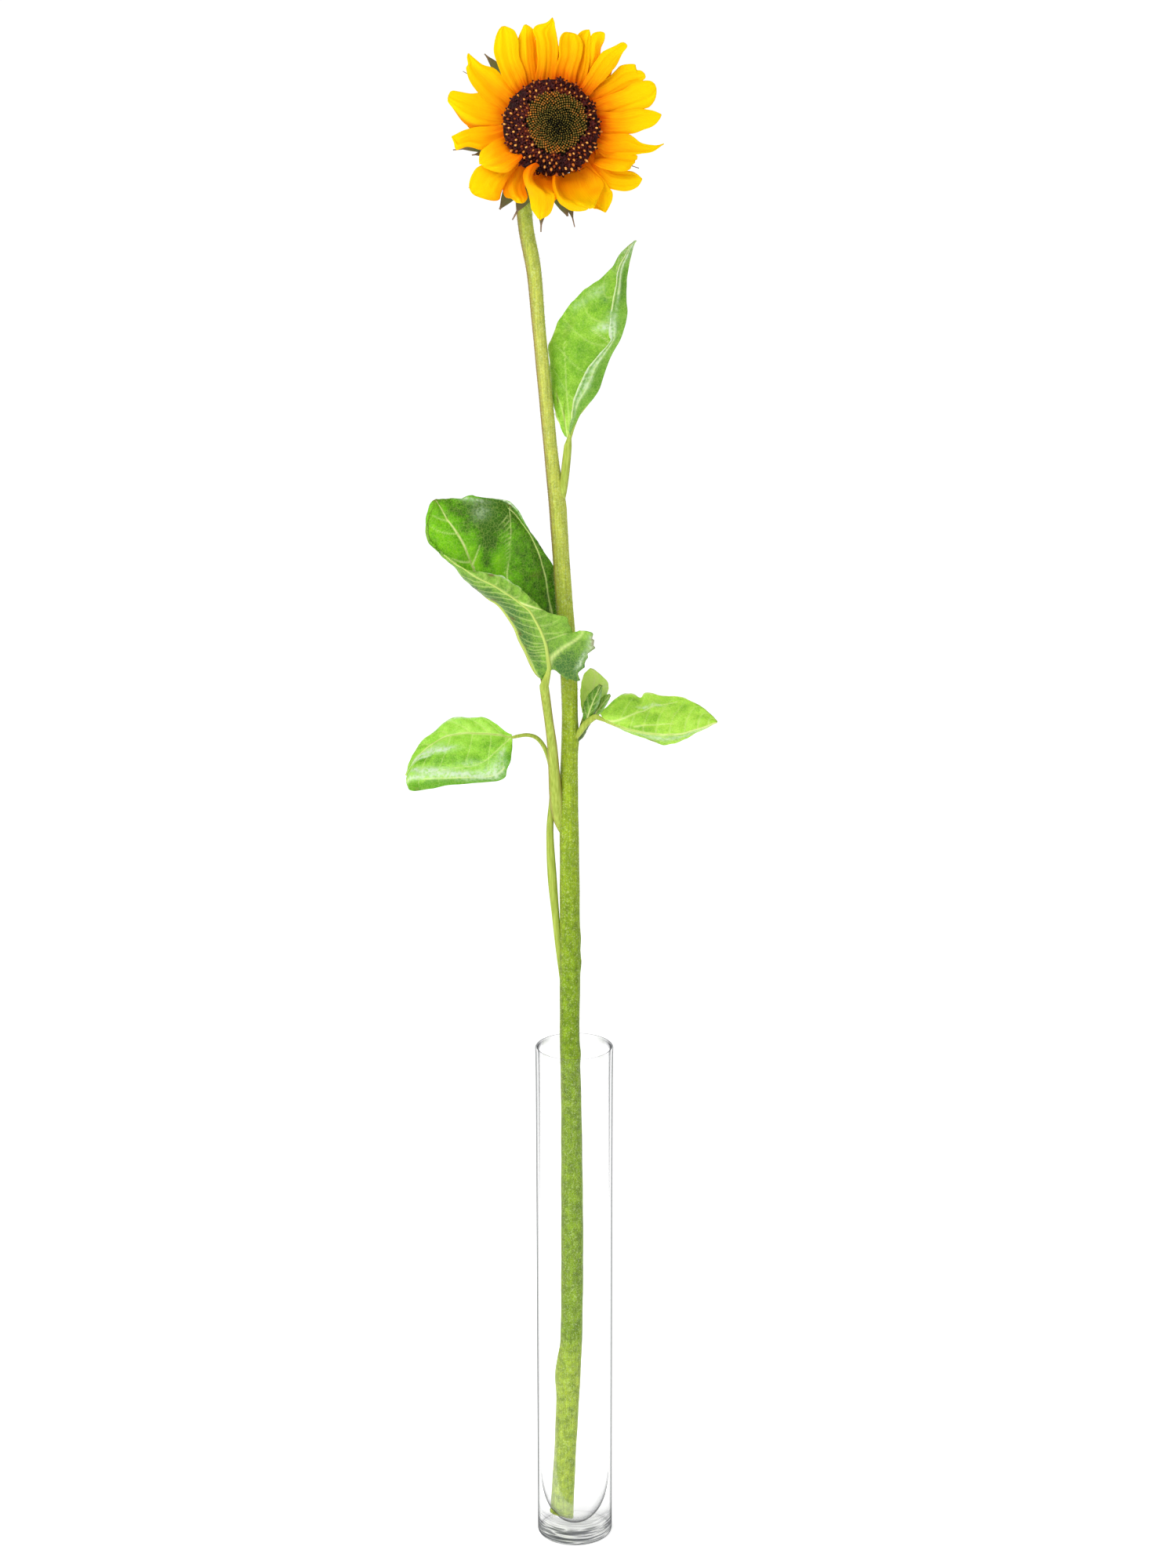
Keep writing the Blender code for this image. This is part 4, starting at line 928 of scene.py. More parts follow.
def petal_skin():
    """Petal tissue: matt yellow that glows where light comes through, orange at its foot, and deep orange where
    painted shade lies.
    """
    mat, add = new_material("petal_yellow_tissue")
    along = (add("Attribute", {"attribute_name": "along"}), "Fac")
    deep = (add("Attribute", {"attribute_name": "shade"}), "Fac")
    # veins run the length of the petal: 0.45 mm apart across it, 14 mm long
    surface = add("Mapping", {"Scale": (2.2, 0.07, 1.0)},
                  {"Vector": add("UVMap", {"uv_map": "surface"})})
    vein = add("TexNoise", {"Scale": 1.0, "Detail": 2.0}, {"Vector": surface})
    # orange reaches from the foot outwards, further along some veins than others
    reach = add("Math", {"operation": "MULTIPLY_ADD", 1: 0.30}, {0: vein, 2: along})
    reach = add("Math", {"operation": "MULTIPLY_ADD", 1: 0.24},
                {0: grain(add, 7.0, 3.0), 2: reach})
    reach = add("MapRange", {"From Min": 0.27, "From Max": 1.27}, {"Value": reach})
    tone = add("ValToRGB", {"stops": [(0, "E25000"), (0.08, "F07000"), (0.2, "F99200"),
                                      (0.36, "FDAA00"), (0.54, "FEBC00"), (0.85, "FDCC00")]},
               {"Fac": reach})
    # painted shade: deep orange where the shade attribute marks a petal lying in shadow
    tone = add("Mix", {"B": "F68600"}, {"Factor": deep, "A": tone})
    skin_shader(add, tone, vein, 0.8, 0.2, {
        "Roughness": 0.62, "IOR": 1.4, "Specular IOR Level": 0.06, "Subsurface Weight": 0.2,
        "Subsurface Radius": (1.0, 0.5, 0.05), "Subsurface Scale": 0.002})
    return mat


PETAL_SKIN = petal_skin()
for number in range(1, 30):
    if number in FLAT_PETALS:
        grid, along, shade = flat_petal(FLAT_PETALS[number], number)
    elif number in CURLED_PETALS:
        grid, along, shade = curled_petal(CURLED_PETALS[number], CURLED_SHADES[number], number)
    else:
        # back petals carry painted shade at half strength across their whole width
        edges = back_petal(*BACK_PETALS[number])
        grid, along, shade = flat_petal((*edges, -9.0, -1.0, 0.1, (), ((-1, 0.5), (1, 0.5))),
                                        number)
    points, faces = shell(grid, PETAL_THICK)
    # the surface's own map, in mm: across, and along
    gaps = np.linalg.norm(np.diff(grid, axis=1), axis=2)
    place_u = np.concatenate([np.zeros((len(grid), 1)), np.cumsum(gaps, axis=1)], axis=1)
    place_u -= place_u[:, [grid.shape[1] // 2]]
    place_v = run_along(grid[:, grid.shape[1] // 2])[:, None] + 0 * place_u
    uv = np.stack([place_u + 40 * number, place_v], axis=-1).reshape(-1, 2)
    place_mesh("petal_blade_%02d" % number, points, faces, [PETAL_SKIN], "petal_yellow",
               "petal_%02d" % number, uvs=np.tile(uv, (2, 1)),
               attributes={"along": np.tile(along.ravel(), 2), "shade": np.tile(shade.ravel(), 2)})

# ----------------------------------------------------------
# Bracts: green scales round the back of the head, egg-shaped and hairy at the foot, that run
# out into long brown bristles.  They grow from the cup and show between the petals.
# angle, radius of the tip, layer, radius where the green blade ends and the bristle begins,
# width and sideways bend of the tip, mm
BRACTS = [
    (15, 45, 0, 41, 8, 1), (50, 44, 0, 40, 8, -1), (92, 44, 0, 40, 8, 1), (134, 53, 0, 51.5, 7, 0.5),
    (148, 57, 1, 43, 7, 1.5), (167, 46, 0, 42, 8, -1), (186, 56.5, 0, 53, 8, 0.5),
    (194, 57, 1, 51.5, 8.5, -1), (201, 48, 0, 46, 7, -1.5), (214, 57.5, 1, 44, 7.5, 1), (236, 54, 0, 53, 10, 0),
    (247, 55.5, 0, 49.5, 10.5, -1.5), (262, 57.5, 1, 53, 8.5, 1), (276, 49.5, 0, 49, 10, 2.5),
    (283, 56, 1, 50.5, 7, -0.5), (310, 46, 1, 42, 8, 1), (333, 54, 0, 44, 7, 1),
]
BRACT_THICK = 0.55
BRACT_LAYERS = ((-11.4, 22.9), (-13.6, 19.8))
BRACT_OUTLINE = [(0, 0.66), (0.15, 0.86), (0.35, 1.0), (0.55, 0.95), (0.7, 0.78), (0.85, 0.48), (0.94, 0.24),
                 (1, 0.11), (1.2, 0.07), (1.6, 0.05)]
BRACT_ROWS, BRACT_COLUMNS = 28, 9


def bract_grid(angle, tip, layer, blade_end, wide, bend, seed):
    depth, radius = BRACT_LAYERS[layer]
    lean = random.Random(seed).uniform(0.10, 0.20)
    angle = math.radians(angle)
    flat = 0.94 * RIGHT * math.cos(angle) + 0.97 * UP * math.sin(angle)
    side = UP * math.cos(angle) - RIGHT * math.sin(angle)
    lift = 1.0 * RIGHT + 2.2 * UP
    length = tip - radius
    across = np.linspace(-1, 1, BRACT_COLUMNS)
    rows = []
    for k in range(BRACT_ROWS):
        s = k / (BRACT_ROWS - 1)
        half = np.interp(s * length / (blade_end - radius), *zip(*BRACT_OUTLINE)) * wide / 2
        middle = HEAD_AT + flat * (radius + length * s) + side * bend * s ** 3 + lift * s \
            + OUT * (depth - lean * length * s - 2.0 * math.sin(math.pi * s) ** 2 * lean)
        fold = 0.20 * np.abs(across) + 0.05 * np.cos(across * 9) * (1 - s)
        rows.append(middle + (across * half)[:, None] * side - (fold * half)[:, None] * OUT)
    return np.array(rows)


def bract_skin():
    """Bract tissue: dull hairy green, brown and dry towards the bristle."""
    mat, add = new_material("bract_dull_green")
    surface = add("UVMap", {"uv_map": "surface"})
    split = add("SeparateXYZ", links={"Vector": surface})
    spot = grain(add, 1.6, 3.0)
    reach = add("Math", {"operation": "MULTIPLY_ADD", 1: 0.25}, {0: spot, 2: (split, "Y")})
    tone = add("ValToRGB", {"stops": [(0.05, "7E9048"), (0.4, "6C7E38"), (0.72, "5E6C3A"),
                                      (0.9, "6A5E40"), (1, "8E7E68")]}, {"Fac": reach})
    skin_shader(add, tone, spot, 0.8, 0.2, {
        "Roughness": 0.6, "IOR": 1.45, "Specular IOR Level": 0.25, "Subsurface Weight": 0.08,
        "Subsurface Scale": 0.002})
    return mat


BRACT_SKIN = bract_skin()
fringe = []                       # hairs along the bracts' edges
for number, measures in enumerate(BRACTS, 1):
    grid = bract_grid(*measures, 300 + number)
    slim = np.interp(np.linspace(0, 1, BRACT_ROWS), [0, 0.6, 1], [1, 0.8, 0.5])[:, None]
    points, faces = shell(grid, BRACT_THICK * slim)
    # along the green blade v runs to 0.8, and on into the bristle
    root = BRACT_LAYERS[measures[2]][1]
    blade_share = 0.8 * (measures[1] - root) / (measures[3] - root)
    uv = np.stack(np.meshgrid(np.linspace(0, 1, BRACT_COLUMNS),
                              np.linspace(0, blade_share, BRACT_ROWS)), axis=-1)
    place_mesh("bract_blade_%02d" % number, points, faces, [BRACT_SKIN], "bract_green",
               "bract_%02d" % number, uvs=np.tile(uv.reshape(-1, 2), (2, 1)))
    for k in range(1, int(BRACT_ROWS * 0.6)):
        for edge in (0, -1):
            out = unit(grid[k, edge] - grid[k, BRACT_COLUMNS // 2]) \
                + 0.8 * unit(grid[k + 1, edge] - grid[k, edge])
            out += np.array([disc_random.uniform(-0.3, 0.3) for _ in range(3)])
            fringe.append((grid[k, edge], unit(out), disc_random.uniform(0.9, 1.9), 0.1))
place_mesh("bract_hairs", *hair_mesh(fringe), [PALE_HAIR], "bract_green")

# ----------------------------------------------------------
# Leaves: thin fresh blades on round stalks.  Each grows as one piece with its stalk, which
# runs on under the blade as its raised midrib; the blade is quilted between its side veins,
# toothed at the margin, glossy on top, and dull and paler beneath.
BLADE_THICK = 0.42
SIDE_VEIN = (0.42, 0.36)          # width of a side vein, mm, and how pale it is, 0 to 1
MARGIN = 7                        # columns that lean out with the margin's teeth
STALK_SIDES = 20


def span_weights(place, count):
    """The four rows round a place on a cage, and their Catmull-Rom weights."""
    first = min(max(int(place), 0), count - 2)
    t = place - first
    weights = 0.5 * np.array([-t + 2 * t ** 2 - t ** 3, 2 - 5 * t ** 2 + 3 * t ** 3,
                              t + 4 * t ** 2 - 3 * t ** 3, -t ** 2 + t ** 3])
    return np.clip([first - 1, first, first + 1, first + 2], 0, count - 1), weights


def on_cage(cage, row, column):
    """The smooth surface's point at a place given in rows and columns of its cage."""
    rows, down = span_weights(row, cage.shape[0])
    columns, over = span_weights(column, cage.shape[1])
    return np.einsum("i,j,ijk->k", down, over, cage[np.ix_(rows, columns)])


def vein_tree(mains, pairs):
    """All veins of a blade: (path in rows and columns, width, strength).

    mains are such veins; pairs are (main vein's path, first row, last row, count, column reached
    on each side, rows gained on the way): side veins that bend towards the tip.
    """
    veins = list(mains)
    for path, first, last, count, low, high, gain in pairs:
        for k in range(count):
            row = first + (last - first) * k / max(1, count - 1)
            column = float(np.interp(row, *zip(*path)))
            for end in (low, high):
                if end is None:
                    continue
                shift = 0.3 if end == low else 0.0
                turn = [(row + shift + gain * t ** 1.5, column + (end - column) * t)
                        for t in (0, 0.3, 0.65, 1)]
                veins.append((turn, *SIDE_VEIN))
    return veins


def vein_distances(cage, grid, veins):
    """How near each point of a grid is to a vein, 0 to 1, and its distance in mm to any vein."""
    flat = grid.reshape(-1, 3)
    mark, near = np.zeros(len(flat)), np.full(len(flat), 99.0)
    for path, width, strength in veins:
        places = spline(path, 5)
        line = np.array([on_cage(cage, row, column) for row, column in places])
        share = np.linspace(1.0, 0.35, len(line) - 1)
        start, run = line[:-1], line[1:] - line[:-1]
        to = flat[:, None, :] - start[None]
        t = np.clip((to * run).sum(2) / np.maximum((run ** 2).sum(1), 1e-9), 0, 1)
        gap = np.linalg.norm(to - t[:, :, None] * run, axis=2)
        value = strength * np.exp(-(gap / (width * share)) ** 2)
        mark = np.maximum(mark, value.max(1))
        near = np.minimum(near, gap.min(1))
    return mark.reshape(grid.shape[:2]), near.reshape(grid.shape[:2])


def swell(points, size, seed):
    """Smooth rises and dips from -1 to 1, about size mm apart."""
    own = np.random.default_rng(seed)
    total = np.zeros(points.shape[:-1])
    for _ in range(7):
        wave = own.normal(size=3)
        wave *= 2 * math.pi / (size * own.uniform(0.8, 1.7) * np.linalg.norm(wave))
        total += np.sin(points @ wave + own.uniform(0, 6.3))
    return total / 3.2


def teeth(distance, pitch, deep, seed):
    """A toothed margin: how far it stands out, mm, along the margin's length."""
    own = np.random.default_rng(seed)
    count = int(distance[-1] / pitch) + 3
    places = np.cumsum(own.uniform(0.6, 1.4, count)) * pitch - pitch
    heights = own.uniform(0.3, 1.0, count) * deep
    out = np.zeros(len(distance))
    for place, height in zip(places, heights):
        gap = (distance - place) / pitch
        out += height * np.where(gap > 0, np.exp(-(gap / 0.18) ** 2), np.exp(-(gap / 0.5) ** 2))
    return out - deep * 0.35


def spots(shape, cage, list_of_spots):
    """Soft spots painted on a blade: (row, column, rows wide, columns wide, strength)."""
    rows = np.linspace(0, cage.shape[0] - 1, shape[0])[:, None]
    columns = np.linspace(0, cage.shape[1] - 1, shape[1])[None, :]
    total = np.zeros(shape)
    for row, column, tall, wide, strength in list_of_spots:
        total += strength * np.exp(-((rows - row) / tall) ** 2 - ((columns - column) / wide) ** 2)
    return total


def leaf_skin(name, dark, middle, light, under):
    """Leaf tissue: mottled green under a glossy cuticle, paler and dull beneath, pale veins, with painted shade
    and painted sheen.
    """
    mat, add = new_material(name)
    painted = {key: (add("Attribute", {"attribute_name": key}), "Fac")
               for key in ("tone", "under", "vein", "bloom", "brown")}
    # mottling 5 mm across with a fine speckle of 0.7 mm in it
    speckle, blotch = grain(add, 0.7, 2.0), grain(add, 5.0, 5.0, 0.72)
    depth = add("Math", {"operation": "MULTIPLY_ADD", 1: 0.55}, {0: speckle, 2: blotch})
    # painted tone spots add to the mottling: the leaf's own patches, painted shade and painted light
    depth = add("Math", {"operation": "ADD"}, {0: depth, 1: painted["tone"]})
    depth = add("MapRange", {"From Min": 0.42, "From Max": 1.14}, {"Value": depth})
    upper = add("ValToRGB", {"stops": [(0.0, dark), (0.5, middle), (1.0, light)]}, {"Fac": depth})
    lower = add("ValToRGB", {"stops": list(zip((0.1, 0.55, 1.0), under))}, {"Fac": depth})
    tone = add("Mix", links={"Factor": painted["under"], "A": upper, "B": lower})
    # the finest veins: a net whose meshes are 1.8 mm across
    where = (add("TexCoord"), "Object")
    drift = (add("TexNoise", {"Scale": 400.0}, {"Vector": where}), "Color")
    moved = add("Mix", {"blend_type": "LINEAR_LIGHT", "Factor": 0.0012},
                {"A": where, "B": drift})
    net = add("TexVoronoi", {"feature": "DISTANCE_TO_EDGE", "Scale": 550.0}, {"Vector": moved})
    line = add("MapRange", {"From Min": 0.0, "From Max": 0.11, "To Min": 0.20, "To Max": 0.0},
               {"Value": net})
    # side veins, painted sheen of the cuticle in pale streaks, and brown damage
    vein = add("Math", {"operation": "MULTIPLY", 1: 0.95, "use_clamp": True}, {0: painted["vein"]})
    streaky = add("MapRange", {"From Min": 0.35, "From Max": 0.6, "To Min": 0.35, "To Max": 1.25},
                  {"Value": grain(add, 1.6, 3.0)})
    gloss = add("Math", {"operation": "MULTIPLY", "use_clamp": True},
                {0: painted["bloom"], 1: streaky})
    brown = add("Math", {"operation": "MULTIPLY", 1: 1.0, "use_clamp": True},
                {0: painted["brown"]})
    for share, mark in ((line, "C8DC74"), (vein, "E2F098"), (gloss, "CBE0B8"), (brown, "6B4A26")):
        tone = add("Mix", {"B": mark}, {"Factor": share, "A": tone})
    relief = add("Math", {"operation": "MULTIPLY_ADD", 1: 0.4}, {0: speckle, 2: net})
    rough = add("MapRange", {"From Min": 0.3, "From Max": 0.7, "To Min": 0.36, "To Max": 0.52},
                {"Value": blotch})
    skin_shader(add, tone, relief, 0.6, 0.25, {
        "IOR": 1.45, "Specular IOR Level": 0.22, "Subsurface Weight": 0.12,
        "Subsurface Radius": (0.4, 1.0, 0.1), "Subsurface Scale": 0.0015}, {"Roughness": rough})
    return mat


def stalk_skin():
    """Leaf stalk: smooth pale green, its two edges red-brown."""
    mat, add = new_material("leaf_stalk_skin")
    stretched = add("Mapping", {"Scale": (1.0, 1.0, 0.08)},
                    {"Vector": (add("TexCoord"), "Object")})
    streak = add("TexNoise", {"Scale": 1100.0, "Detail": 2.0}, {"Vector": stretched})
    tone = add("ValToRGB", {"stops": [(0.3, "93A636"), (0.7, "B6C858")]}, {"Fac": streak})
    for part, tint in (("rib", "BCD066"), ("edge", "86602C")):
        share = (add("Attribute", {"attribute_name": part}), "Fac")
        tone = add("Mix", {"B": tint}, {"Factor": share, "A": tone})
    skin_shader(add, tone, streak, 0.4, 0.3, {
        "Roughness": 0.5, "IOR": 1.45, "Specular IOR Level": 0.25, "Subsurface Weight": 0.1,
        "Subsurface Scale": 0.002})
    return mat


STALK_SKIN = stalk_skin()


def stalk_shape(flat, groove, turn):
    """An oval stalk with a channel along its upper side."""
    def shape(centre, angles):
        oval = flat / np.sqrt((flat * np.cos(angles - turn)) ** 2 + np.sin(angles - turn) ** 2)
        return oval * (1 - groove * np.exp(-(np.cos(angles - turn - math.pi / 2) - 1) ** 2 / 0.05))
    return shape


def grow_leaf(name, node, skin, stalk_line, cage, ribs, look):
    """Builds one leaf from its stalk's line, the cage of its blade and its raised ribs.

    look gives the blade's side veins, teeth, painted spots, and which side is the upper one.
    """
    cage = np.array(cage, float)
    along_steps, over_steps = look["steps"]
    grid = spline_grid(cage, along_steps, over_steps)
    mark, near = vein_distances(cage, grid, vein_tree(look["mains"], look["pairs"]))

    # the toothed, slightly wavy margins
    for way, (pitch, deep, seed) in zip((1, -1), look["teeth"]):
        edge, inner = (0, MARGIN - 1) if way == 1 else (-1, -MARGIN)
        out = unit(grid[:, edge] - grid[:, inner])
        distance = run_along(grid[:, edge])
        stands = teeth(distance, pitch, deep, seed)
        for low, high, more, narrow in look.get("ragged", ()) if way == 1 else ():
            rows = np.linspace(0, len(cage) - 1, len(grid))
            window = smooth_step(low, low + 0.5, rows) * (1 - smooth_step(high - 0.5, high, rows))
            stands = stands + window * teeth(distance, narrow, more, seed + 9)
        stands *= smooth_step(0.0, 0.06, distance / distance[-1]) \
            * (1 - smooth_step(0.93, 1.0, distance / distance[-1]))
        for k in range(MARGIN):
            column = k if way == 1 else -1 - k
            grid[:, column] += out * (stands * (1 - k / MARGIN) ** 1.5)[:, None]

    # quilting between the veins, and the larger waves of the blade
    upper = surface_normal(grid) * look["up"]
    rise = look["quilt"] * (1 - np.exp(-(near / 2.0) ** 2)) \
        + 0.4 * look["quilt"] * swell(grid, 5.0, 3) \
        + look["wave"] * swell(grid, 15.0, look["teeth"][0][2])
    grid = grid + upper * rise[:, :, None]
    points, faces = shell(grid, BLADE_THICK)
    count = len(points)
    under = np.repeat([0.0, 1.0] if look["up"] > 0 else [1.0, 0.0], count // 2)
    layers = {"under": under, "vein": np.tile(mark.ravel(), 2)}
    # tone spots: the leaf's own darker and lighter patches, with painted shade in folds and creases and painted
    # light among them; the sheen spots are painted highlight streaks; brown spots are damage
    for key in ("tone", "bloom", "brown"):
        layers[key] = np.tile(spots(grid.shape[:2], cage, look[key]).ravel(), 2)
    slots = [0] * len(faces)

    # the stalk, and the raised ribs that it runs out into on the blade's underside
    stalk = spline(stalk_line, 6)
    layers["edge"], layers["rib"] = np.zeros(count), np.zeros(count)
    whole = points
    for number, (path, first, last) in enumerate(ribs):
        places = spline(path, 6)
        rows = np.clip((places[:, 0] * along_steps).round().astype(int), 0, grid.shape[0] - 1)
        columns = np.clip((places[:, 1] * over_steps).round().astype(int), 0, grid.shape[1] - 1)
        thick = np.geomspace(first, last, len(places))
        sink = (thick * look["rib_sunk"])[:, None] * upper[rows, columns]
        line = np.column_stack([grid[rows, columns] - sink, thick])
        line[1:-1, :3] = (line[:-2, :3] + 2 * line[1:-1, :3] + line[2:, :3]) / 4
        joined = stalk if number == 0 else stalk[-1:] * [1, 1, 1, 0.5]
        line = np.vstack([joined, line])
        rod_points, rod_faces, _ = rod_mesh(line, STALK_SIDES, look["stalk_shape"])
        # red-brown edges along the stalk, and the change from stalk to rib
        end = len(line) * STALK_SIDES
        edge, on_rib = np.zeros((2, len(rod_points)))
        ring_edge = np.abs(np.cos(2 * math.pi * np.arange(STALK_SIDES) / STALK_SIDES)) ** 6
        edge[:end] = np.tile(ring_edge, len(line)) * look["blush_and_side_shade"]
        edge[(len(joined) - 4) * STALK_SIDES:end] = 0.0
        turning = np.clip((np.arange(len(line)) - len(joined)) / 14.0, 0, 1)
        on_rib[:end] = np.repeat(turning, STALK_SIDES)
        faces = faces + [tuple(len(whole) + i for i in face) for face in rod_faces]
        slots = slots + [1] * len(rod_faces)
        whole = np.concatenate([whole, rod_points])
        for key in layers:
            more = {"edge": edge, "rib": on_rib}.get(key, np.zeros(len(rod_points)))
            layers[key] = np.concatenate([layers[key], more])
        if number == 0:
            stalk_path = line
    place_mesh(name, whole, faces, [skin, STALK_SKIN], look.get("slot", "leaf_green"), node,
               attributes=layers, slots=slots)
    return grid, upper, stalk_path


def margin_hairs(grid, upper, rows, column_range, count, length, seed):
    """Roots of short hairs on a part of a blade."""
    own = random.Random(seed)
    roots = []
    for _ in range(count):
        u = int(own.uniform(*rows) * (grid.shape[0] - 1))
        v = int(own.uniform(*column_range) * (grid.shape[1] - 1))
        way = unit(upper[u, v] * own.choice((-1, 1))
                   + np.array([own.uniform(-0.7, 0.7) for _ in range(3)]))
        roots.append((grid[u, v], way, length * own.uniform(0.6, 1.3), 0.1))
    return roots


# upper right leaf: folded along its length, its right half turned over towards the front
UPPER_STALK = [(-7.4, 9.8, 617, 1), (-6.2, 8.4, 624, 2), (-5.1, 7, 633, 2.35),
               (-4.1, 6.2, 642, 2.35), (-3.1, 5.6, 652, 2.15)]
UPPER_CAGE = [
    [(-4.6, 6.4, 657.5), (-4, 6.2, 657), (-3.2, 6, 656.5), (-1.8, 5.4, 656.5), (-1.6, 4.2, 658.5),
     (-1.8, 3, 660.5)],
    [(-9.5, 8, 668.5), (-7, 7, 669), (-3, 6, 668.5), (3, 4, 669), (1.5, 2, 670), (-1, 0.5, 670.5)],
    [(-11.5, 10, 676.5), (-7, 8, 677), (-1.5, 6.5, 677), (8.5, 3, 676), (4.5, 0, 678.5), (0, -1, 678.5)],
    [(-12.5, 12, 687), (-7, 9, 686.5), (0.5, 7, 685.5), (13.5, 2, 683.5), (9, -1.5, 685.5), (3, -2.5, 687)],
    [(-13, 13, 696.5), (-6, 10, 696), (3.5, 7, 695.5), (17.5, 2, 695), (13, -2, 696), (8, -3, 696.5)],
    [(-13.5, 13, 705), (-5, 10, 704.5), (7, 6, 704), (21.5, 2, 705.5), (18, -1.5, 704), (14, -2.5, 703.5)],
    [(-10.5, 12.5, 713.5), (-1.5, 9, 713), (10, 5.5, 712.5), (26, 2, 714), (23, -1, 712.5), (20, -2, 710.5)],
    [(-8, 12, 719.5), (1.5, 9, 719.5), (12, 5, 719), (28, 2, 720.5), (23.5, -1.5, 719), (19, -2.5, 714.5)],
    [(-2.5, 10, 727.5), (5.5, 7.5, 727), (14, 4.5, 726.5), (28.5, 1.5, 730), (24.5, -2, 727.5),
     (20, -3, 725.5)],
    [(5.5, 8, 736), (12, 6, 734.5), (18.5, 4, 734), (28, 1, 740.5), (25, -2.5, 737), (21.5, -3.5, 735)],
    [(14, 6, 742.5), (18, 5, 742), (22, 3.5, 741.5), (29.5, 0.5, 748.5), (26, -2.5, 745), (23, -4, 743)],
    [(20.5, 4, 749), (22.5, 3.5, 749), (25, 2.5, 749), (30.5, 0, 754.5), (27.5, -2.5, 752.5),
     (24.5, -4, 750.5)],
    [(24.5, 2.5, 756), (26, 2, 756), (28.5, 1, 756.5), (31.5, -0.5, 759.5), (30, -2.5, 758), (28, -3.5, 757)],
    [(30, 0.5, 761.5), (30.5, 0, 761.5), (31, -0.5, 762), (32.5, -1, 762.5), (32, -2, 762.5), (31, -2.6, 762)],
    [(33, -1, 764), (33.1, -1.2, 764), (33.2, -1.4, 764), (33.5, -1.6, 764), (33.3, -1.9, 764),
     (33.1, -2.2, 764)],
]
UPPER_RIB = [(0, 2.6), (1, 2.8), (2, 2.85), (4, 2.9), (6, 2.9), (8, 2.9), (10, 2.9), (12, 2.95), (14, 3)]
upper_grid, upper_way, upper_line = grow_leaf(
    "upper_right_leaf_blade", "leaf_upper_right",
    leaf_skin("upper_leaf_tissue", "4E8A12", "80B628", "B0DC50", ("5C9420", "7CB238", "A4CC66")),
    UPPER_STALK, UPPER_CAGE, [(UPPER_RIB, 1.2, 0.25)], {
        "steps": (14, 14), "up": -1, "quilt": 0.45, "wave": 0.35, "teeth": ((9.0, 0.7, 21), (8.0, 0.5, 22)),
        "mains": [(UPPER_RIB, 0.8, 0.3), ([(0.1, 2), (1.2, 1.3), (2.4, 0.6)], 0.6, 0.6),
                  ([(0.1, 2.4), (1.5, 1.9), (3.2, 1.4), (5.5, 0.9)], 0.6, 0.4),
                  ([(5.2, 2.8), (5.9, 2.3), (6.5, 1.9)], 0.45, 0.7),
                  ([(0.8, 4.97), (4, 4.97), (7.6, 4.97)], 0.6, 0.9),
                  ([(8.2, 4.97), (11, 4.97), (13, 4.97)], 0.6, 0.9),
                  ([(0.6, 0.04), (3, 0.03), (6.2, 0.03)], 0.6, 0.8),
                  ([(1.4, 4.3), (4, 4.25), (7, 4.35)], 0.5, 0.6),
                  ([(9, 4.3), (11, 4.3), (13, 4.4)], 0.5, 0.6)],
        "pairs": [(UPPER_RIB, 1.5, 11.5, 7, 0.3, None, 2)],
        "tone": [(3, 0.4, 2, 0.8, -0.1), (6, 2.2, 1.5, 0.8, 0.1), (4.6, 4.62, 3.6, 0.09, -0.6),
                 (10.4, 4.62, 2.6, 0.14, -0.65), (3, 0.1, 3, 0.35, 0.35), (2, 2.4, 1.2, 0.5, 0.14),
                 (8.5, 2.7, 2, 0.3, -0.15), (8.4, 1.8, 0.8, 0.5, -0.2), (5, 1.8, 0.9, 0.5, -0.2),
                 (3.2, 3.6, 1, 0.4, -0.3), (9.4, 3.7, 1.4, 0.5, -0.3), (5.8, 3.5, 1, 0.4, 0.1),
                 (0.8, 1.6, 0.9, 0.8, 0.2)],
        "bloom": [(6.6, 2.35, 0.35, 0.3, 0.8), (7.4, 2.6, 0.4, 0.25, 0.5), (2.6, 4.95, 2.2, 0.13, 0.8),
                  (6, 4.95, 1.8, 0.13, 0.8), (3.8, 4.35, 3, 0.28, 0.6), (7, 4.7, 0.7, 0.5, 0.75),
                  (4.6, 4.8, 3, 0.12, 0.5), (10.4, 4.95, 2.2, 0.13, 0.8), (10.8, 4.25, 2.2, 0.2, 0.75),
                  (12.9, 2.5, 1.5, 3, 0.6), (9.2, 1, 0.5, 0.5, 0.35), (8.2, 0.6, 0.4, 0.3, 0.3)],
        "brown": [(0.9, 1.5, 0.9, 0.07, 0.7), (2, 0.7, 0.5, 0.07, 0.6), (3.9, -0.1, 0.3, 0.12, 0.4),
                  (6.3, 0.8, 0.8, 0.2, 0.18)],
        "rib_sunk": 0.3, "stalk_shape": stalk_shape(0.85, 0.12, 0.0), "blush_and_side_shade": 0.35})
# hairs on its turned-over margin, all over it, and on its other margin
roots = []
for columns, count, length, seed in (((0.90, 1.0), 700, 0.8, 31), ((0.0, 1.0), 500, 0.6, 32),
                                     ((0, 0.03), 200, 0.7, 33)):
    roots += margin_hairs(upper_grid, upper_way, (0.02, 0.98), columns, count, length, seed)
place_mesh("upper_leaf_hairs", *hair_mesh(roots), [PALE_HAIR], "leaf_green")

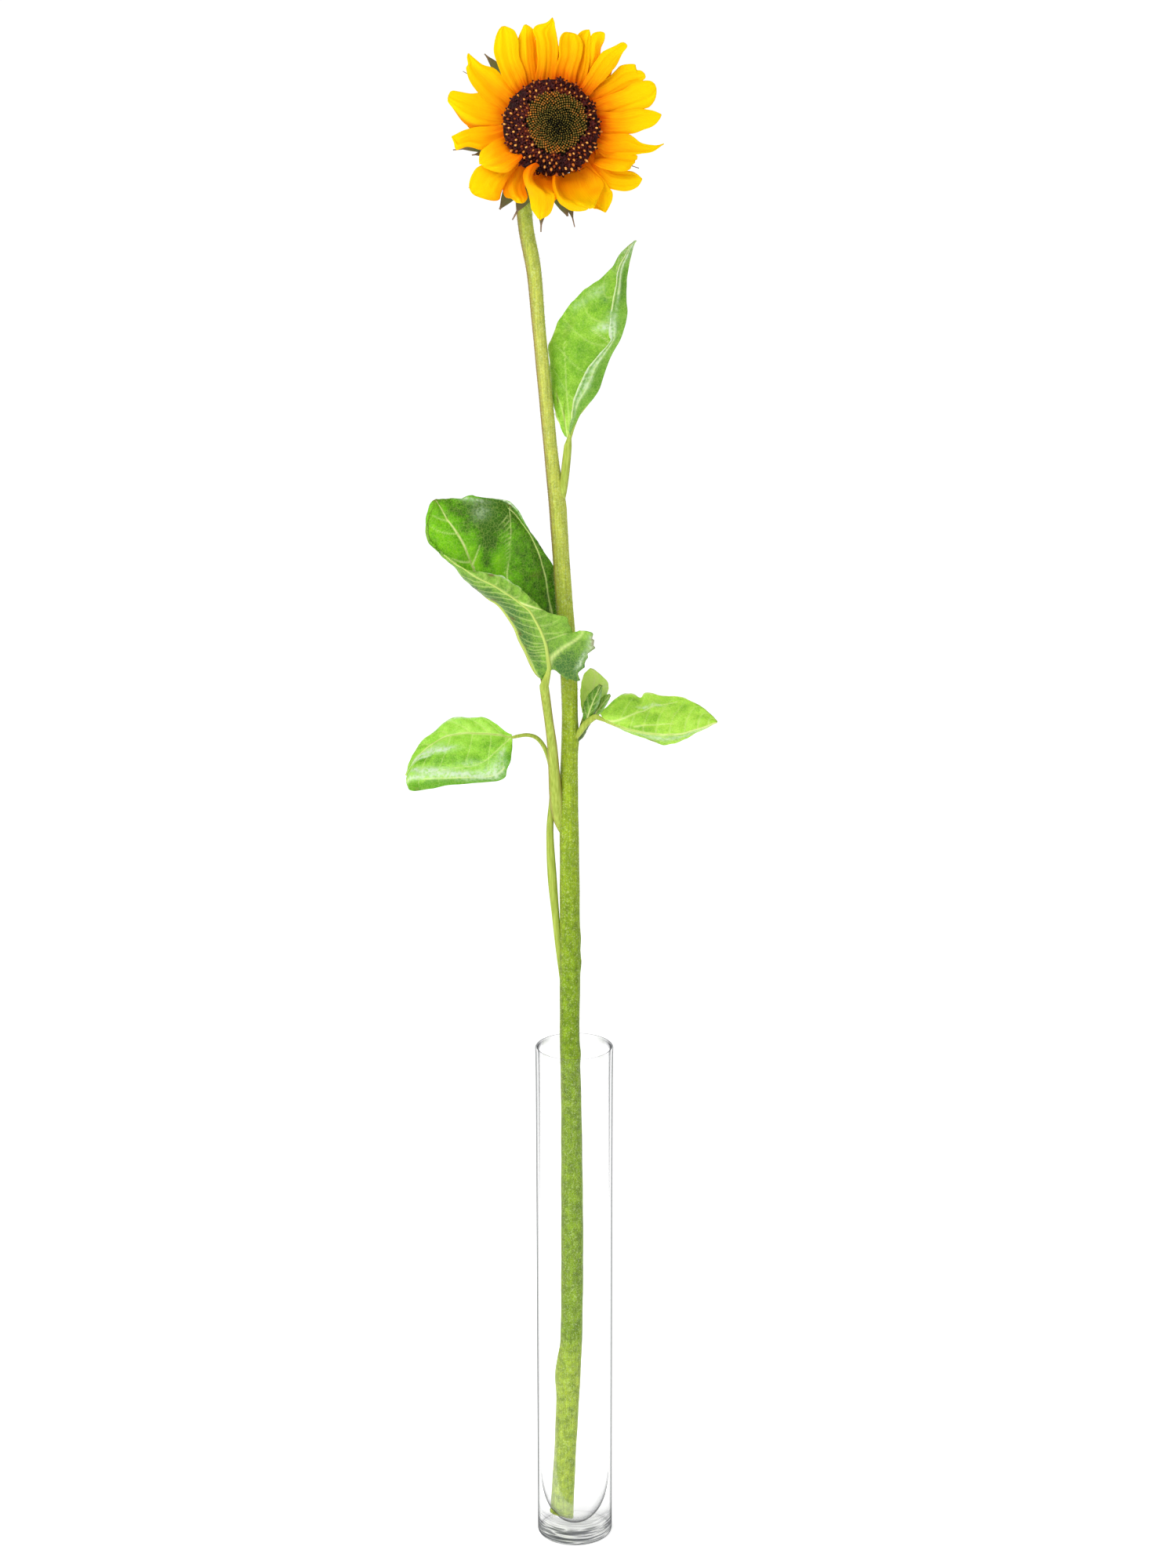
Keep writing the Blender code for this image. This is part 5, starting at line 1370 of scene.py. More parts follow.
# large leaf on the left: it climbs away from the stem, and its front half has dropped forward
# over the stalk, so that its pale underside and the ragged lobe at its foot look to the front
LARGE_STALK = [(-7.6, 14.6, 430, 1), (-8.6, 14.2, 436, 2.7), (-9.5, 13.2, 444, 3.7),
               (-10.4, 11.2, 454, 3.7), (-11.2, 8.8, 467, 3.2), (-12.2, 5.6, 483, 2.8),
               (-14, 1.4, 499, 2.5), (-15.5, -2.6, 512, 2.6), (-16.4, -5.6, 520, 2.6)]
LARGE_CAGE = [
    [(-11, -6, 529.5), (-13, -7, 528), (-17, -4, 523), (-16, 0, 527), (-14.5, 2, 528), (-14, 3, 528.5),
     (-13, 4, 529)],
    [(-3.5, -9, 524.5), (-13.5, -9, 532.5), (-20.5, -5, 528), (-17, -1, 534), (-14.5, 3, 534.5),
     (-12.5, 6, 535), (-10.5, 8, 536)],
    [(3.5, -10, 528), (-14.5, -10, 539), (-24, -6, 535), (-20, -1, 540.5), (-15.5, 5, 540.5),
     (-11.5, 10, 541.5), (-9, 13, 544)],
    [(11.5, -12, 548.5), (-15, -11, 543.5), (-26.5, -8, 541.5), (-22, -1, 547), (-16.5, 7, 547.5),
     (-11.5, 14, 549), (-8, 18, 551)],
    [(4, -12, 553), (-16, -13, 548), (-29.5, -9, 547.5), (-24.5, -1, 553), (-19, 8, 554), (-12, 16, 554.5),
     (-7.5, 20, 556.5)],
    [(0, -11, 550.5), (-18, -14, 553.5), (-32, -10, 554.5), (-28, -1, 559), (-21, 9, 560.5), (-13, 17, 560),
     (-7.5, 21, 562)],
    [(-4.5, -12, 560), (-21, -15, 559.5), (-36, -10, 560.5), (-32.5, -1, 565), (-24, 9, 567),
     (-14.5, 17, 567.5), (-8, 21, 569.5)],
    [(-14.5, -14, 564), (-24, -16, 565.5), (-40.5, -10, 566), (-36.5, -1, 570), (-27.5, 9, 573),
     (-15.5, 17, 575), (-9.5, 21, 577)],
    [(-20.5, -15, 569.5), (-30, -17, 570.5), (-46, -10, 570.5), (-41.5, 0, 575), (-31, 9, 579),
     (-17.5, 17, 583), (-11.5, 20, 582.5)],
    [(-26.5, -16, 575.5), (-36, -18, 575), (-51.5, -10, 574.5), (-46.5, 0, 579.5), (-34.5, 9, 585.5),
     (-20, 16, 592), (-15.5, 18, 589)],
    [(-34, -17, 581.5), (-43.5, -18, 579.5), (-56.5, -10, 578.5), (-51, 0, 582.5), (-34, 9, 594.5),
     (-24, 15, 600.5), (-20.5, 16, 597)],
    [(-43.5, -17, 586), (-50.5, -17, 583), (-61.5, -9, 583), (-55, -1, 586), (-34, 9, 601), (-29, 14, 608),
     (-25, 14, 605)],
    [(-54, -15, 587), (-57.5, -15, 586.5), (-65.5, -8, 587.5), (-57.5, -1, 591.5), (-38, 8, 607.5),
     (-33, 12, 614), (-29.5, 13, 613)],
    [(-61, -12, 589), (-62.5, -12, 589.5), (-70, -7, 592), (-60, -1, 598), (-43.5, 7, 613), (-37.5, 11, 618),
     (-33.5, 12, 618.5)],
    [(-66, -10, 592), (-68.5, -9, 592.5), (-75, -6, 597), (-62, -1, 602), (-48.5, 6, 616), (-43, 9, 620.5),
     (-40, 11, 621.5)],
    [(-72.5, -8, 596.5), (-74.5, -7.5, 598), (-78.5, -6, 601), (-64.5, -1.5, 606.5), (-54.5, 5, 618.5),
     (-50, 8, 622), (-48, 9, 622.5)],
    [(-78, -6.5, 602), (-78.5, -6.5, 603.5), (-80, -6, 607.5), (-68.5, -2, 612.5), (-60.5, 3, 619.5),
     (-56.5, 6, 623), (-54.5, 7, 623.5)],
    [(-79.5, -5.5, 610.5), (-79.5, -5.5, 612), (-79, -5.5, 615), (-71.5, -2.5, 618), (-67, 1, 622),
     (-63, 4, 623), (-60, 5, 623)],
    [(-78, -5, 619), (-77.5, -5, 620.5), (-76.5, -5, 622), (-74, -3, 622), (-72, -1, 623.5), (-69, 1, 624),
     (-66.5, 2, 624)],
    [(-76, -4.6, 623.5), (-75.9, -4.5, 623.9), (-75.7, -4.4, 624.2), (-75.5, -4.3, 624.5), (-75.2, -4.2, 624.6),
     (-75, -4.1, 624.7), (-74.7, -4, 624.8)],
]
LARGE_RIB = [(0, 2.4), (1, 2.1), (3, 2), (5, 2), (7, 2), (8.5, 2.15), (10, 2.7), (11, 3),
             (13, 3), (15, 3), (17, 3), (18.8, 3)]
LARGE_FLAP_VEIN = [(0.2, 1.2), (1, 1.0), (3, 1.0), (5, 1.0), (7, 1.0), (9, 1.0), (11, 1.0), (13, 0.9),
                   (14.5, 0.6)]
LARGE_BACK_VEIN = [(1.5, 4.9), (3, 5.0), (5, 5.0), (7, 5.0), (9, 5.0), (11, 5.0), (12.6, 4.9)]
LARGE_CREASE = [(8, 3.5), (9, 3.88), (10, 3.92), (11, 3.93), (12, 4.35), (12.7, 5.2)]
_, _, large_line = grow_leaf(
    "large_left_leaf_blade", "leaf_large_left",
    leaf_skin("large_leaf_tissue", "38640A", "64AC04", "88D00C", ("44702E", "76A434", "92C644")),
    LARGE_STALK, LARGE_CAGE, [(LARGE_FLAP_VEIN, 1.5, 0.22), (LARGE_RIB, 1.0, 0.4)], {
        "steps": (13, 18), "up": -1, "quilt": 0.6, "wave": 0.45, "teeth": ((10.0, 1.3, 41), (12.0, 0.9, 42)),
        "ragged": ((0.6, 3.6, 4.0, 6.0), (5.0, 11.0, 1.8, 8.0)),
        "mains": [(LARGE_RIB, 0.75, 1), (LARGE_FLAP_VEIN, 0.8, 0.7), (LARGE_BACK_VEIN, 0.6, 1),
                  ([(1.5, 4.82), (3.5, 4.82), (5.5, 4.95)], 0.4, 0.6), (LARGE_CREASE, 0.4, 0.8),
                  ([(1, 1), (2.6, 0.7), (3.3, 0.35), (3.9, 0.03)], 1.3, 0.7),
                  ([(8, 1), (7.4, 0.6), (7.2, 0.25)], 0.6, 0.9),
                  ([(11.2, 3), (11.6, 3.15), (12.2, 3.36)], 0.55, 1),
                  ([(11.6, 3), (12.2, 2.6), (12.9, 2.25)], 0.5, 0.95),
                  ([(14.7, 3), (15.4, 2.6), (16.3, 2.2)], 0.4, 0.5),
                  ([(15.9, 3), (16.6, 2.6), (17, 2.35)], 0.4, 0.5)],
        "pairs": [(LARGE_FLAP_VEIN, 3.6, 10.5, 10, 0.05, 1.9, 0.9),
                  (LARGE_FLAP_VEIN, 1.3, 3.2, 5, None, 1.85, 0.7),
                  (LARGE_CREASE, 8.4, 12, 13, 3.78, None, 0.05)],
        "tone": [(9.5, 5.2, 5, 1.1, -0.24), (4, 5, 4, 1.5, -0.22), (1.6, 0.35, 1, 0.5, -0.42),
                 (3.6, 0.1, 0.5, 0.2, 0.3), (4.5, 1.75, 3.5, 0.35, -0.34),
                 (8.4, 1.75, 2.4, 0.35, -0.42), (9.5, 0.5, 2.5, 0.4, 0.12), (6, 0.35, 2, 0.4, 0.1),
                 (15, 3.9, 2.2, 0.7, -0.4), (12.9, 3.8, 0.9, 0.28, -0.42), (9.5, 3.06, 0.7, 0.1, -0.38),
                 (10.6, 3.3, 0.8, 0.11, -0.42), (11.8, 3.52, 0.8, 0.18, -0.42),
                 (12.8, 4.6, 1, 0.6, -0.25), (12, 2.6, 2.5, 0.5, 0.16), (16, 2.3, 2.5, 0.5, 0.12),
                 (11.3, 3.14, 1.2, 0.18, 0.35), (9.8, 3.62, 1.2, 0.22, 0.35), (14, 5, 1.2, 0.8, -0.3)],
        "bloom": [(15.2, 4.6, 0.8, 0.4, 0.4), (14.2, 3.9, 0.7, 0.25, 0.35), (16.6, 4.9, 0.9, 0.3, 0.6),
                  (13.2, 5.75, 0.7, 0.22, 1), (14.4, 5.8, 0.6, 0.2, 0.7), (12.1, 5.8, 2, 0.2, 0.35),
                  (9.6, 1.85, 3, 0.16, 0.25), (2.9, 0.06, 0.35, 0.1, 0.9), (2.3, 0.18, 0.3, 0.06, 0.7),
                  (10.6, 0.02, 0.9, 0.1, 0.7)],
        "brown": [(12.9, 5.35, 0.25, 0.14, 0.9), (11, 0.2, 0.14, 0.18, 1), (19, 3, 0.5, 3, 0.75),
                  (6, 1.75, 0.2, 0.1, 0.6), (8.1, 1.72, 0.2, 0.1, 0.6), (9.6, 1.8, 0.25, 0.1, 0.6),
                  (4.6, 1.82, 0.2, 0.08, 0.6), (3.4, 1.8, 0.2, 0.08, 0.5), (7.6, 4.6, 0.25, 0.2, 0.3),
                  (16.5, 2.02, 2.6, 0.05, 0.7), (2.9, 0.04, 0.3, 0.06, 0.7)],
        "rib_sunk": 0.5, "stalk_shape": stalk_shape(0.8, 0.16, 0.0), "blush_and_side_shade": 0.75})

# right leaf: held level, its front half folded under along the midrib
RIGHT_STALK = [(1.4, 11.2, 486, 1), (3.2, 10.2, 489.5, 1.7), (6.8, 8.6, 495, 1.8), (12, 7, 499.5, 1.7)]
RIGHT_CAGE = [
    [(15, 9, 500), (15, 8, 500), (15.5, 7, 499.5), (16, 6, 499), (16.5, 5.5, 498), (17.5, 5, 497),
     (17.5, 5, 496.5)],
    [(20, 12, 505), (20, 10.5, 503.5), (20.5, 7, 502), (21, 4, 500), (22, 2.5, 497.5), (22.5, 2, 495.5),
     (22.5, 3.2, 495)],
    [(25.5, 14.5, 509), (26, 12.5, 507), (26.5, 8, 504.5), (27, 4, 501), (27.5, 1.5, 497.5), (28.5, 1, 494),
     (29.5, 3, 492)],
    [(31.5, 16, 510.5), (32, 13.5, 508), (32.5, 9, 504.5), (33, 4.5, 501), (33.5, 1, 497), (34, 0, 493),
     (35.5, 3.2, 489.5)],
    [(37, 16.5, 508), (37.5, 14, 506.5), (38.5, 9, 503.5), (39, 4, 500.5), (39.5, 0.5, 496.5), (40.5, -1, 492),
     (42, 3.5, 487)],
    [(40, 17, 510.5), (42.5, 14.5, 507.5), (44.5, 9.5, 504.5), (45, 4.5, 500.5), (46, 0.5, 496),
     (46.5, -1.5, 491.5), (49, 4, 484)],
    [(49.5, 17, 508.5), (50, 14, 506.5), (51, 9, 503.5), (51.5, 4, 500.5), (52.5, 0, 496.5), (53, -2, 491.5),
     (54, 3.5, 484.5)],
    [(56.5, 15.5, 509), (57.5, 13, 507), (58.5, 8.5, 504), (59, 4, 501), (59.5, 0, 496.5), (60.5, -2, 492),
     (60.5, 2.5, 487)],
    [(63, 13, 508), (64, 10.5, 506.5), (65, 7, 504), (66, 3.5, 501), (66.5, 0, 497.5), (67, -1.5, 494),
     (67, 1.5, 491)],
    [(69, 9, 505.5), (70, 7, 504.5), (71, 5, 502.5), (71.5, 3, 500.5), (72, 0.5, 498.5), (72.5, -0.5, 495.5),
     (72.5, 1, 494)],
    [(75, 5, 501.5), (75.5, 4, 501), (76, 3, 500.5), (76, 2, 499.5), (76.5, 1, 498.5), (77, 0.5, 497),
     (77, 1, 496.5)],
    [(79.5, 2, 498.2), (79.6, 1.8, 498.1), (79.7, 1.6, 498), (79.8, 1.4, 497.8), (79.7, 1.2, 497.6),
     (79.6, 1.1, 497.4), (79.5, 1.1, 497.2)],
]
RIGHT_RIB = [(0, 4.4), (1, 4.8), (2, 5), (4, 5), (6, 5), (8, 5), (9.5, 5), (10.8, 4.8)]
_, _, right_line = grow_leaf(
    "right_leaf_blade", "leaf_right",
    leaf_skin("right_leaf_tissue", "7AB226", "AADC44", "CAF066", ("7CA04C", "A4C870", "C0DC98")),
    RIGHT_STALK, RIGHT_CAGE, [(RIGHT_RIB, 1.0, 0.22)], {
        "steps": (12, 12), "up": -1, "quilt": 0.4, "wave": 0.3, "teeth": ((9.0, 1.0, 51), (10.0, 0.5, 52)),
        "mains": [(RIGHT_RIB, 0.8, 1), ([(0.6, 4), (2.2, 3.4), (4.2, 2.3), (7, 1.2)], 0.7, 0.8),
                  ([(3, 4.4), (4.4, 4), (6.4, 3.9)], 0.6, 0.6),
                  ([(2.5, 0.1), (5.5, 0.05), (9, 0.1)], 0.6, 0.7)],
        "pairs": [(RIGHT_RIB, 1.4, 9.4, 8, 5.9, 0.6, 2)],
        "tone": [(4.5, 5.4, 4, 0.5, -0.3), (6.5, 3, 2, 0.8, 0.05), (2, 2.4, 1.2, 0.7, -0.22),
                 (1.4, 0.6, 1, 0.5, -0.25), (3.4, 1.2, 1.2, 0.5, -0.25), (4.6, 3.3, 1.4, 0.5, -0.28),
                 (7.6, 1.8, 1.4, 0.5, -0.18), (9.6, 3.4, 1, 0.9, -0.12), (3.4, 4.6, 1.2, 0.35, -0.4)],
        "bloom": [(4.2, 2, 0.7, 0.18, 0.6), (5.3, 1.8, 0.6, 0.15, 0.5), (5, 5.35, 2, 0.2, 0.6),
                  (1, 5.4, 0.9, 0.4, 0.45), (8.4, 5.3, 1.4, 0.2, 0.6), (3, 0.1, 1.5, 0.15, 0.5)],
        "brown": [(4.3, 5.85, 0.4, 0.16, 0.6), (11, 3, 0.35, 3, 0.35), (0.6, 5.8, 0.5, 0.3, 0.45)],
        "rib_sunk": 0.35, "stalk_shape": stalk_shape(0.9, 0.1, 0.0), "blush_and_side_shade": 0.05})

# low left leaf: it hangs from a thin arching stalk that rises beside the stem, curls down at
# the front, and is glossy; the white shine on its folds is painted sheen
LOW_STALK = [
    (-7.2, 15, 340, 1), (-8.9, 15.2, 360, 1.8), (-10.8, 15.6, 382, 2.2), (-12.6, 16, 404, 2.6),
    (-13.7, 16.8, 430, 2.05), (-12.2, 17.2, 450, 1.8), (-12.9, 16.8, 466, 1.4), (-16, 14.8, 478, 1.3),
    (-20.5, 11.2, 485.6, 1.25), (-26, 7.4, 488.6, 1.2), (-32, 4.4, 488.6, 1.15)]
LOW_CAGE = [
    [(-34.5, 5, 489), (-34.5, 4.5, 489), (-34.5, 4, 488.5), (-34.5, 3.5, 488.5), (-34.5, 3, 488),
     (-34.5, 2.5, 488), (-34.5, 2, 487.5)],
    [(-39, 7, 491.5), (-38, 6, 489.5), (-37.5, 4.5, 488.5), (-36.5, 2.5, 487.5), (-36, 0, 485.5),
     (-35.5, -2, 484), (-35, -3.5, 481.5)],
    [(-43.5, 9, 494.5), (-42.5, 7, 492), (-41.5, 4, 489.5), (-40.5, 0.5, 487), (-39.5, -3, 483.5),
     (-38, -6, 480), (-35.5, -8, 476.5)],
    [(-48, 10.5, 497), (-47.5, 8, 494), (-47, 4.5, 490), (-45.5, -0.5, 486), (-44, -5, 481), (-41, -8.5, 475.5),
     (-37, -10, 473)],
    [(-53.5, 11.5, 497.5), (-53, 9, 494), (-52.5, 5, 490), (-52, -1, 484.5), (-50, -6, 478.5), (-46, -10, 473),
     (-38, -12, 469.5)],
    [(-59.5, 12.5, 497), (-59.5, 9.5, 494), (-59.5, 5.5, 490), (-59, -1, 484), (-57.5, -7, 477.5),
     (-53.5, -11, 471.5), (-43, -13, 467.5)],
    [(-66.5, 13, 497.5), (-67, 10, 493.5), (-67, 6, 489), (-67, -1, 483.5), (-66.5, -7, 477),
     (-63.5, -11.5, 471.5), (-52.5, -14, 467)],
    [(-72.5, 13, 495), (-73, 10, 491.5), (-73.5, 6, 487.5), (-74, -1, 482.5), (-74, -7, 476.5),
     (-72, -11.5, 471), (-63.5, -14, 466)],
    [(-78.5, 12, 489.5), (-79, 9.5, 487), (-79.5, 6, 484), (-80, 0, 480), (-80.5, -6, 475.5), (-79, -11, 470.5),
     (-72.5, -14, 465)],
    [(-84.5, 10, 485), (-85, 8, 483), (-85, 5, 480.5), (-85.5, 0, 477.5), (-86, -5.5, 474), (-85, -10, 470),
     (-80.5, -13, 463)],
    [(-89, 8, 479.5), (-89.5, 6, 478), (-89.5, 3, 476.5), (-89.5, -1, 474.5), (-90, -5, 472.5),
     (-90, -9, 469.5), (-86.5, -12, 462)],
    [(-93, 3, 472.5), (-93, 1.5, 471.5), (-93, 0, 470.5), (-93, -2, 469.5), (-93, -4.5, 468),
     (-92.5, -7.5, 466.5), (-90.5, -10.5, 461.5)],
    [(-93.5, 0, 469.5), (-93.5, -1, 469), (-93.5, -2, 468.5), (-93.5, -3, 467.5), (-93, -4.5, 467),
     (-93, -6.5, 465.5), (-92, -9, 462.5)],
]
LOW_RIB = [(0, 3), (1, 2.2), (3, 2), (5, 2), (7, 2), (9, 2.3), (11, 2.8), (11.9, 3)]
_, _, low_line = grow_leaf(
    "low_left_leaf_blade", "leaf_low_left",
    leaf_skin("low_leaf_tissue", "60A018", "98D43C", "BCEC64", ("7CA04C", "A0C868", "BCDC90")),
    LOW_STALK, LOW_CAGE, [(LOW_RIB, 0.9, 0.25)], {
        "steps": (12, 12), "up": 1, "quilt": 0.45, "wave": 0.55, "teeth": ((9.0, 0.7, 61), (11.0, 0.6, 62)),
        "mains": [(LOW_RIB, 0.8, 0.9), ([(0.5, 3), (2, 3.6), (4.5, 4.3), (7, 4.6)], 0.5, 0.6),
                  ([(3, 5.5), (6, 5.35), (9.5, 5.2), (11.4, 5)], 0.5, 0.9)],
        "pairs": [(LOW_RIB, 1.2, 9.6, 6, 0.2, 5.7, 1.8)],
        "tone": [(4, 1.6, 2.5, 1, 0.15), (8.5, 3.5, 2, 0.35, -0.25), (7.5, 5.75, 6, 0.4, -0.66),
                 (6, 3.9, 2, 0.3, -0.25), (3.4, 3.2, 1.2, 0.8, -0.18), (2.2, 5.2, 0.9, 0.8, -0.3),
                 (9.5, 1.2, 1.6, 0.9, -0.06)],
        "bloom": [(8.4, 2.7, 1.1, 0.26, 1.1), (6.8, 3.05, 0.9, 0.2, 1), (9.8, 2.5, 0.7, 0.26, 0.8),
                  (9, 3.15, 1.2, 0.12, 0.9), (9.8, 4.3, 1.3, 0.26, 0.8), (8, 4.6, 1.5, 0.26, 0.85),
                  (6.4, 5, 1.8, 0.26, 0.9), (4.6, 5.4, 1.6, 0.34, 0.9), (3.4, 4.9, 1, 0.4, 0.5),
                  (2.2, 4.3, 0.5, 0.34, 0.7), (9.8, 5.1, 1.6, 0.16, 0.9), (5, 4.2, 0.7, 0.22, 0.4),
                  (6.5, 0.1, 2.2, 0.2, 0.6)],
        "brown": [(10, 5.9, 0.3, 0.2, 0.3), (12, 5.6, 0.3, 0.5, 0.4)],
        "rib_sunk": 0.4, "stalk_shape": stalk_shape(0.8, 0.14, 0.0), "blush_and_side_shade": 0.06})
# short hairs on the four leaf stalks
STALK_HAIRS = 240
roots = []
stalk_random = random.Random(71)
for line in (upper_line, large_line, right_line, low_line):
    for _ in range(STALK_HAIRS):
        x, y, z, radius = line[stalk_random.randrange(2, int(len(line) * 0.4))]
        way = unit(np.array([stalk_random.uniform(-1, 1) for _ in range(3)]))
        roots.append((np.array([x, y, z]) + way * radius * 0.8, way,
                      stalk_random.uniform(0.5, 1.1), 0.09))
place_mesh("leaf_stalk_hairs", *hair_mesh(roots), [PALE_HAIR], "leaf_green")

# ----------------------------------------------------------
# Side shoot: a young branch in the angle of the right leaf, a grey hairy bud with three small
# leaves still closing round it.
SHOOT_STEM = [(1.6, 13.6, 484, 1.3), (4.4, 14, 487, 1.4), (6.6, 13.6, 492, 1.5), (8.4, 13.2, 497, 2.5),
              (9, 13, 502, 3.2), (9.4, 13, 506, 2.3), (9.6, 13, 509, 0.8)]


def bud_shape(centre, angles):
    """Overlapping bud scales."""
    return 1 + 0.10 * np.abs(np.cos(2.5 * angles + centre[2] * 0.9)) \
        + 0.05 * math.sin(centre[2] * 2.6)


BUD_SKIN = mottled_skin("grey_green_bud_skin", 1.6, 3.0,
                        [(0.3, "3A4E1C"), (0.55, "668040"), (0.75, "98AE78")], 0.5,
                        {"Roughness": 0.75, "Sheen Weight": 0.3})
BUD_SIDES, BUD_HAIRS = 28, 650
points, faces, bud_rings = rod_mesh(spline(SHOOT_STEM, 10), BUD_SIDES, bud_shape)
place_mesh("shoot_bud_scales", points, faces, [BUD_SKIN], "shoot_green", "shoot_bud")
bud_random = random.Random(81)
roots = []
for _ in range(BUD_HAIRS):
    centre, side, other, forward, radius = bud_rings[bud_random.randrange(8, len(bud_rings) - 2)]
    a = 2 * math.pi * bud_random.random()
    out = side * math.cos(a) + other * math.sin(a)
    way = unit(out + forward * bud_random.uniform(-0.2, 1.0))
    roots.append((centre + out * radius, way, bud_random.uniform(0.5, 1.2), 0.1))
place_mesh("shoot_bud_hairs", *hair_mesh(roots), [PALE_HAIR], "shoot_green")

# the three small leaves: cages of three to five columns with a midrib down the middle one
SHOOT_LEAVES = [
    ("shoot_back_leaf", "shoot_leaf_back", "leaf_green",
     [(3.2, 17.4, 488.4, 0.8), (4.4, 19.2, 492, 0.9), (5.6, 20.8, 495.5, 0.8)], [
        [(4.6, 22, 497.6), (5.6, 21.8, 497.3), (6.5, 21.5, 497), (7.3, 21.3, 496.9), (8, 21, 496.8)],
        [(3.6, 24, 504), (6.4, 23.4, 504.4), (9.5, 22.6, 504.6), (13, 21.7, 504), (15.6, 21, 503)],
        [(3.8, 25, 512), (7, 24.2, 512.6), (11, 23.2, 513), (15.5, 22.3, 511.6), (19, 21.6, 510)],
        [(5.6, 25, 519), (8.4, 24.2, 519), (12, 23.5, 518.6), (16, 22.8, 517.6), (18.6, 22.1, 516)],
        [(9, 24, 523), (9.8, 23.8, 522.9), (10.6, 23.6, 522.7), (11.4, 23.4, 522.4), (12, 23.2, 522)]],
     ("A4D83C", "C6F05C", "DCF880", ("98D040", "BCE85C", "DCF890"))),
    ("shoot_front_leaf", "shoot_leaf_front", "shoot_green",
     [(6, 12.2, 490.6, 0.5), (6.5, 11.2, 492.6, 0.6), (6.8, 10.4, 494.2, 0.6)], [
        [(5.6, 10.6, 495), (6.2, 10.2, 494.8), (6.8, 10, 494.6), (7.4, 10.2, 494.4), (8, 10.4, 494.2)],
        [(5.3, 8.6, 503), (6.9, 7.7, 502.5), (8.5, 7.2, 502), (10, 7.7, 501.5), (11.3, 8.6, 501)],
        [(7.6, 7.6, 511), (9.6, 6.5, 510.5), (11.4, 6, 510), (13, 6.5, 509.2), (14.4, 7.6, 508.2)],
        [(14, 7.2, 518), (14.5, 7.1, 517.8), (15, 7, 517.6), (15.5, 7.1, 517.3), (16, 7.2, 517)]],
     ("2E560E", "528818", "84BC3C", ("5C8038", "86AC50", "A8C878"))),
    ("shoot_side_leaf", "shoot_leaf_side", "shoot_green",
     [(9.8, 15.2, 494.4, 0.4), (10.3, 15.7, 495.8, 0.5), (10.7, 15.9, 496.8, 0.5)], [
        [(10.4, 16, 498.4), (10.6, 15.9, 497.9), (10.8, 15.9, 497.4), (11, 15.9, 496.9), (11.2, 16, 496.4)],
        [(12.8, 17.6, 504.4), (13.6, 16.3, 503), (14, 15.8, 501.5), (14.7, 16.2, 500), (15.2, 17.4, 498.8)],
        [(16.8, 18.6, 508.2), (17.3, 17.6, 507.2), (17.6, 17.2, 506), (18, 17.5, 505), (18.3, 18.4, 503.8)],
        [(20, 18.6, 509.6), (20.15, 18.5, 509.3), (20.3, 18.4, 509), (20.45, 18.5, 508.6),
         (20.6, 18.6, 508.2)]],
     ("46741A", "7AB030", "A8D460", ("6C9040", "A0C468", "B8D48C"))),
]
for name, node, slot, line, cage, tones in SHOOT_LEAVES:
    rib = [(0, 2), (len(cage) / 2 - 0.5, 2), (len(cage) - 1.15, 2)]
    grow_leaf(name, node, leaf_skin(name + "_tissue", *tones), line, cage, [(rib, 0.5, 0.15)], {
        "steps": (12, 10), "up": -1, "quilt": 0.25, "wave": 0.2, "teeth": ((4.0, 0.4, 91), (4.5, 0.4, 92)),
        "mains": [(rib, 0.45, 0.8)], "pairs": [(rib, 0.3, len(cage) - 1.8, 4, 0.2, 3.8, 0.7)],
        # the back leaf is painted lighter all over, standing in for light that falls on it
        "tone": [(1, 0.5, 1, 0.6, -0.15)] if name != "shoot_back_leaf" else [(2, 2, 3, 3, 0.35)],
        "bloom": [(2, 3.5, 0.8, 0.5, 0.35)],
        "brown": [(len(cage) - 1, 2, 0.15, 2, 0.4)],
        "rib_sunk": 0.4, "stalk_shape": stalk_shape(0.9, 0.05, 0.0), "blush_and_side_shade": 0.2, "slot": slot})

# ----------------------------------------------------------
# Floor, light and camera: a white sweep under broad, soft light, brightest from the upper left
# and a little darker from both sides, which the glass reflects faintly; its grey edges are painted shade.
FLOOR_SIDE = 60.0
FLOOR_GLOW = 0.56                 # the sweep is lit from below, so that it stays white
SKY_STRENGTH, SIDE_STRENGTH = 0.52, 0.30


def white_sweep():
    """Matt white paper with the faintest mottle, lit through from below."""
    mat, add = new_material("white_paper_sweep")
    tone = add("ValToRGB", {"stops": [(0.3, "FBFBFB"), (0.7, "FDFDFD")]},
               {"Fac": grain(add, 400.0)})
    paper = add("BsdfPrincipled", {"Roughness": 0.9, "Specular IOR Level": 0.0,
                                   "Emission Strength": FLOOR_GLOW, "Emission Color": "FFFFFF"},
                {"Base Color": tone})
    add("OutputMaterial", links={"Surface": paper})
    return mat


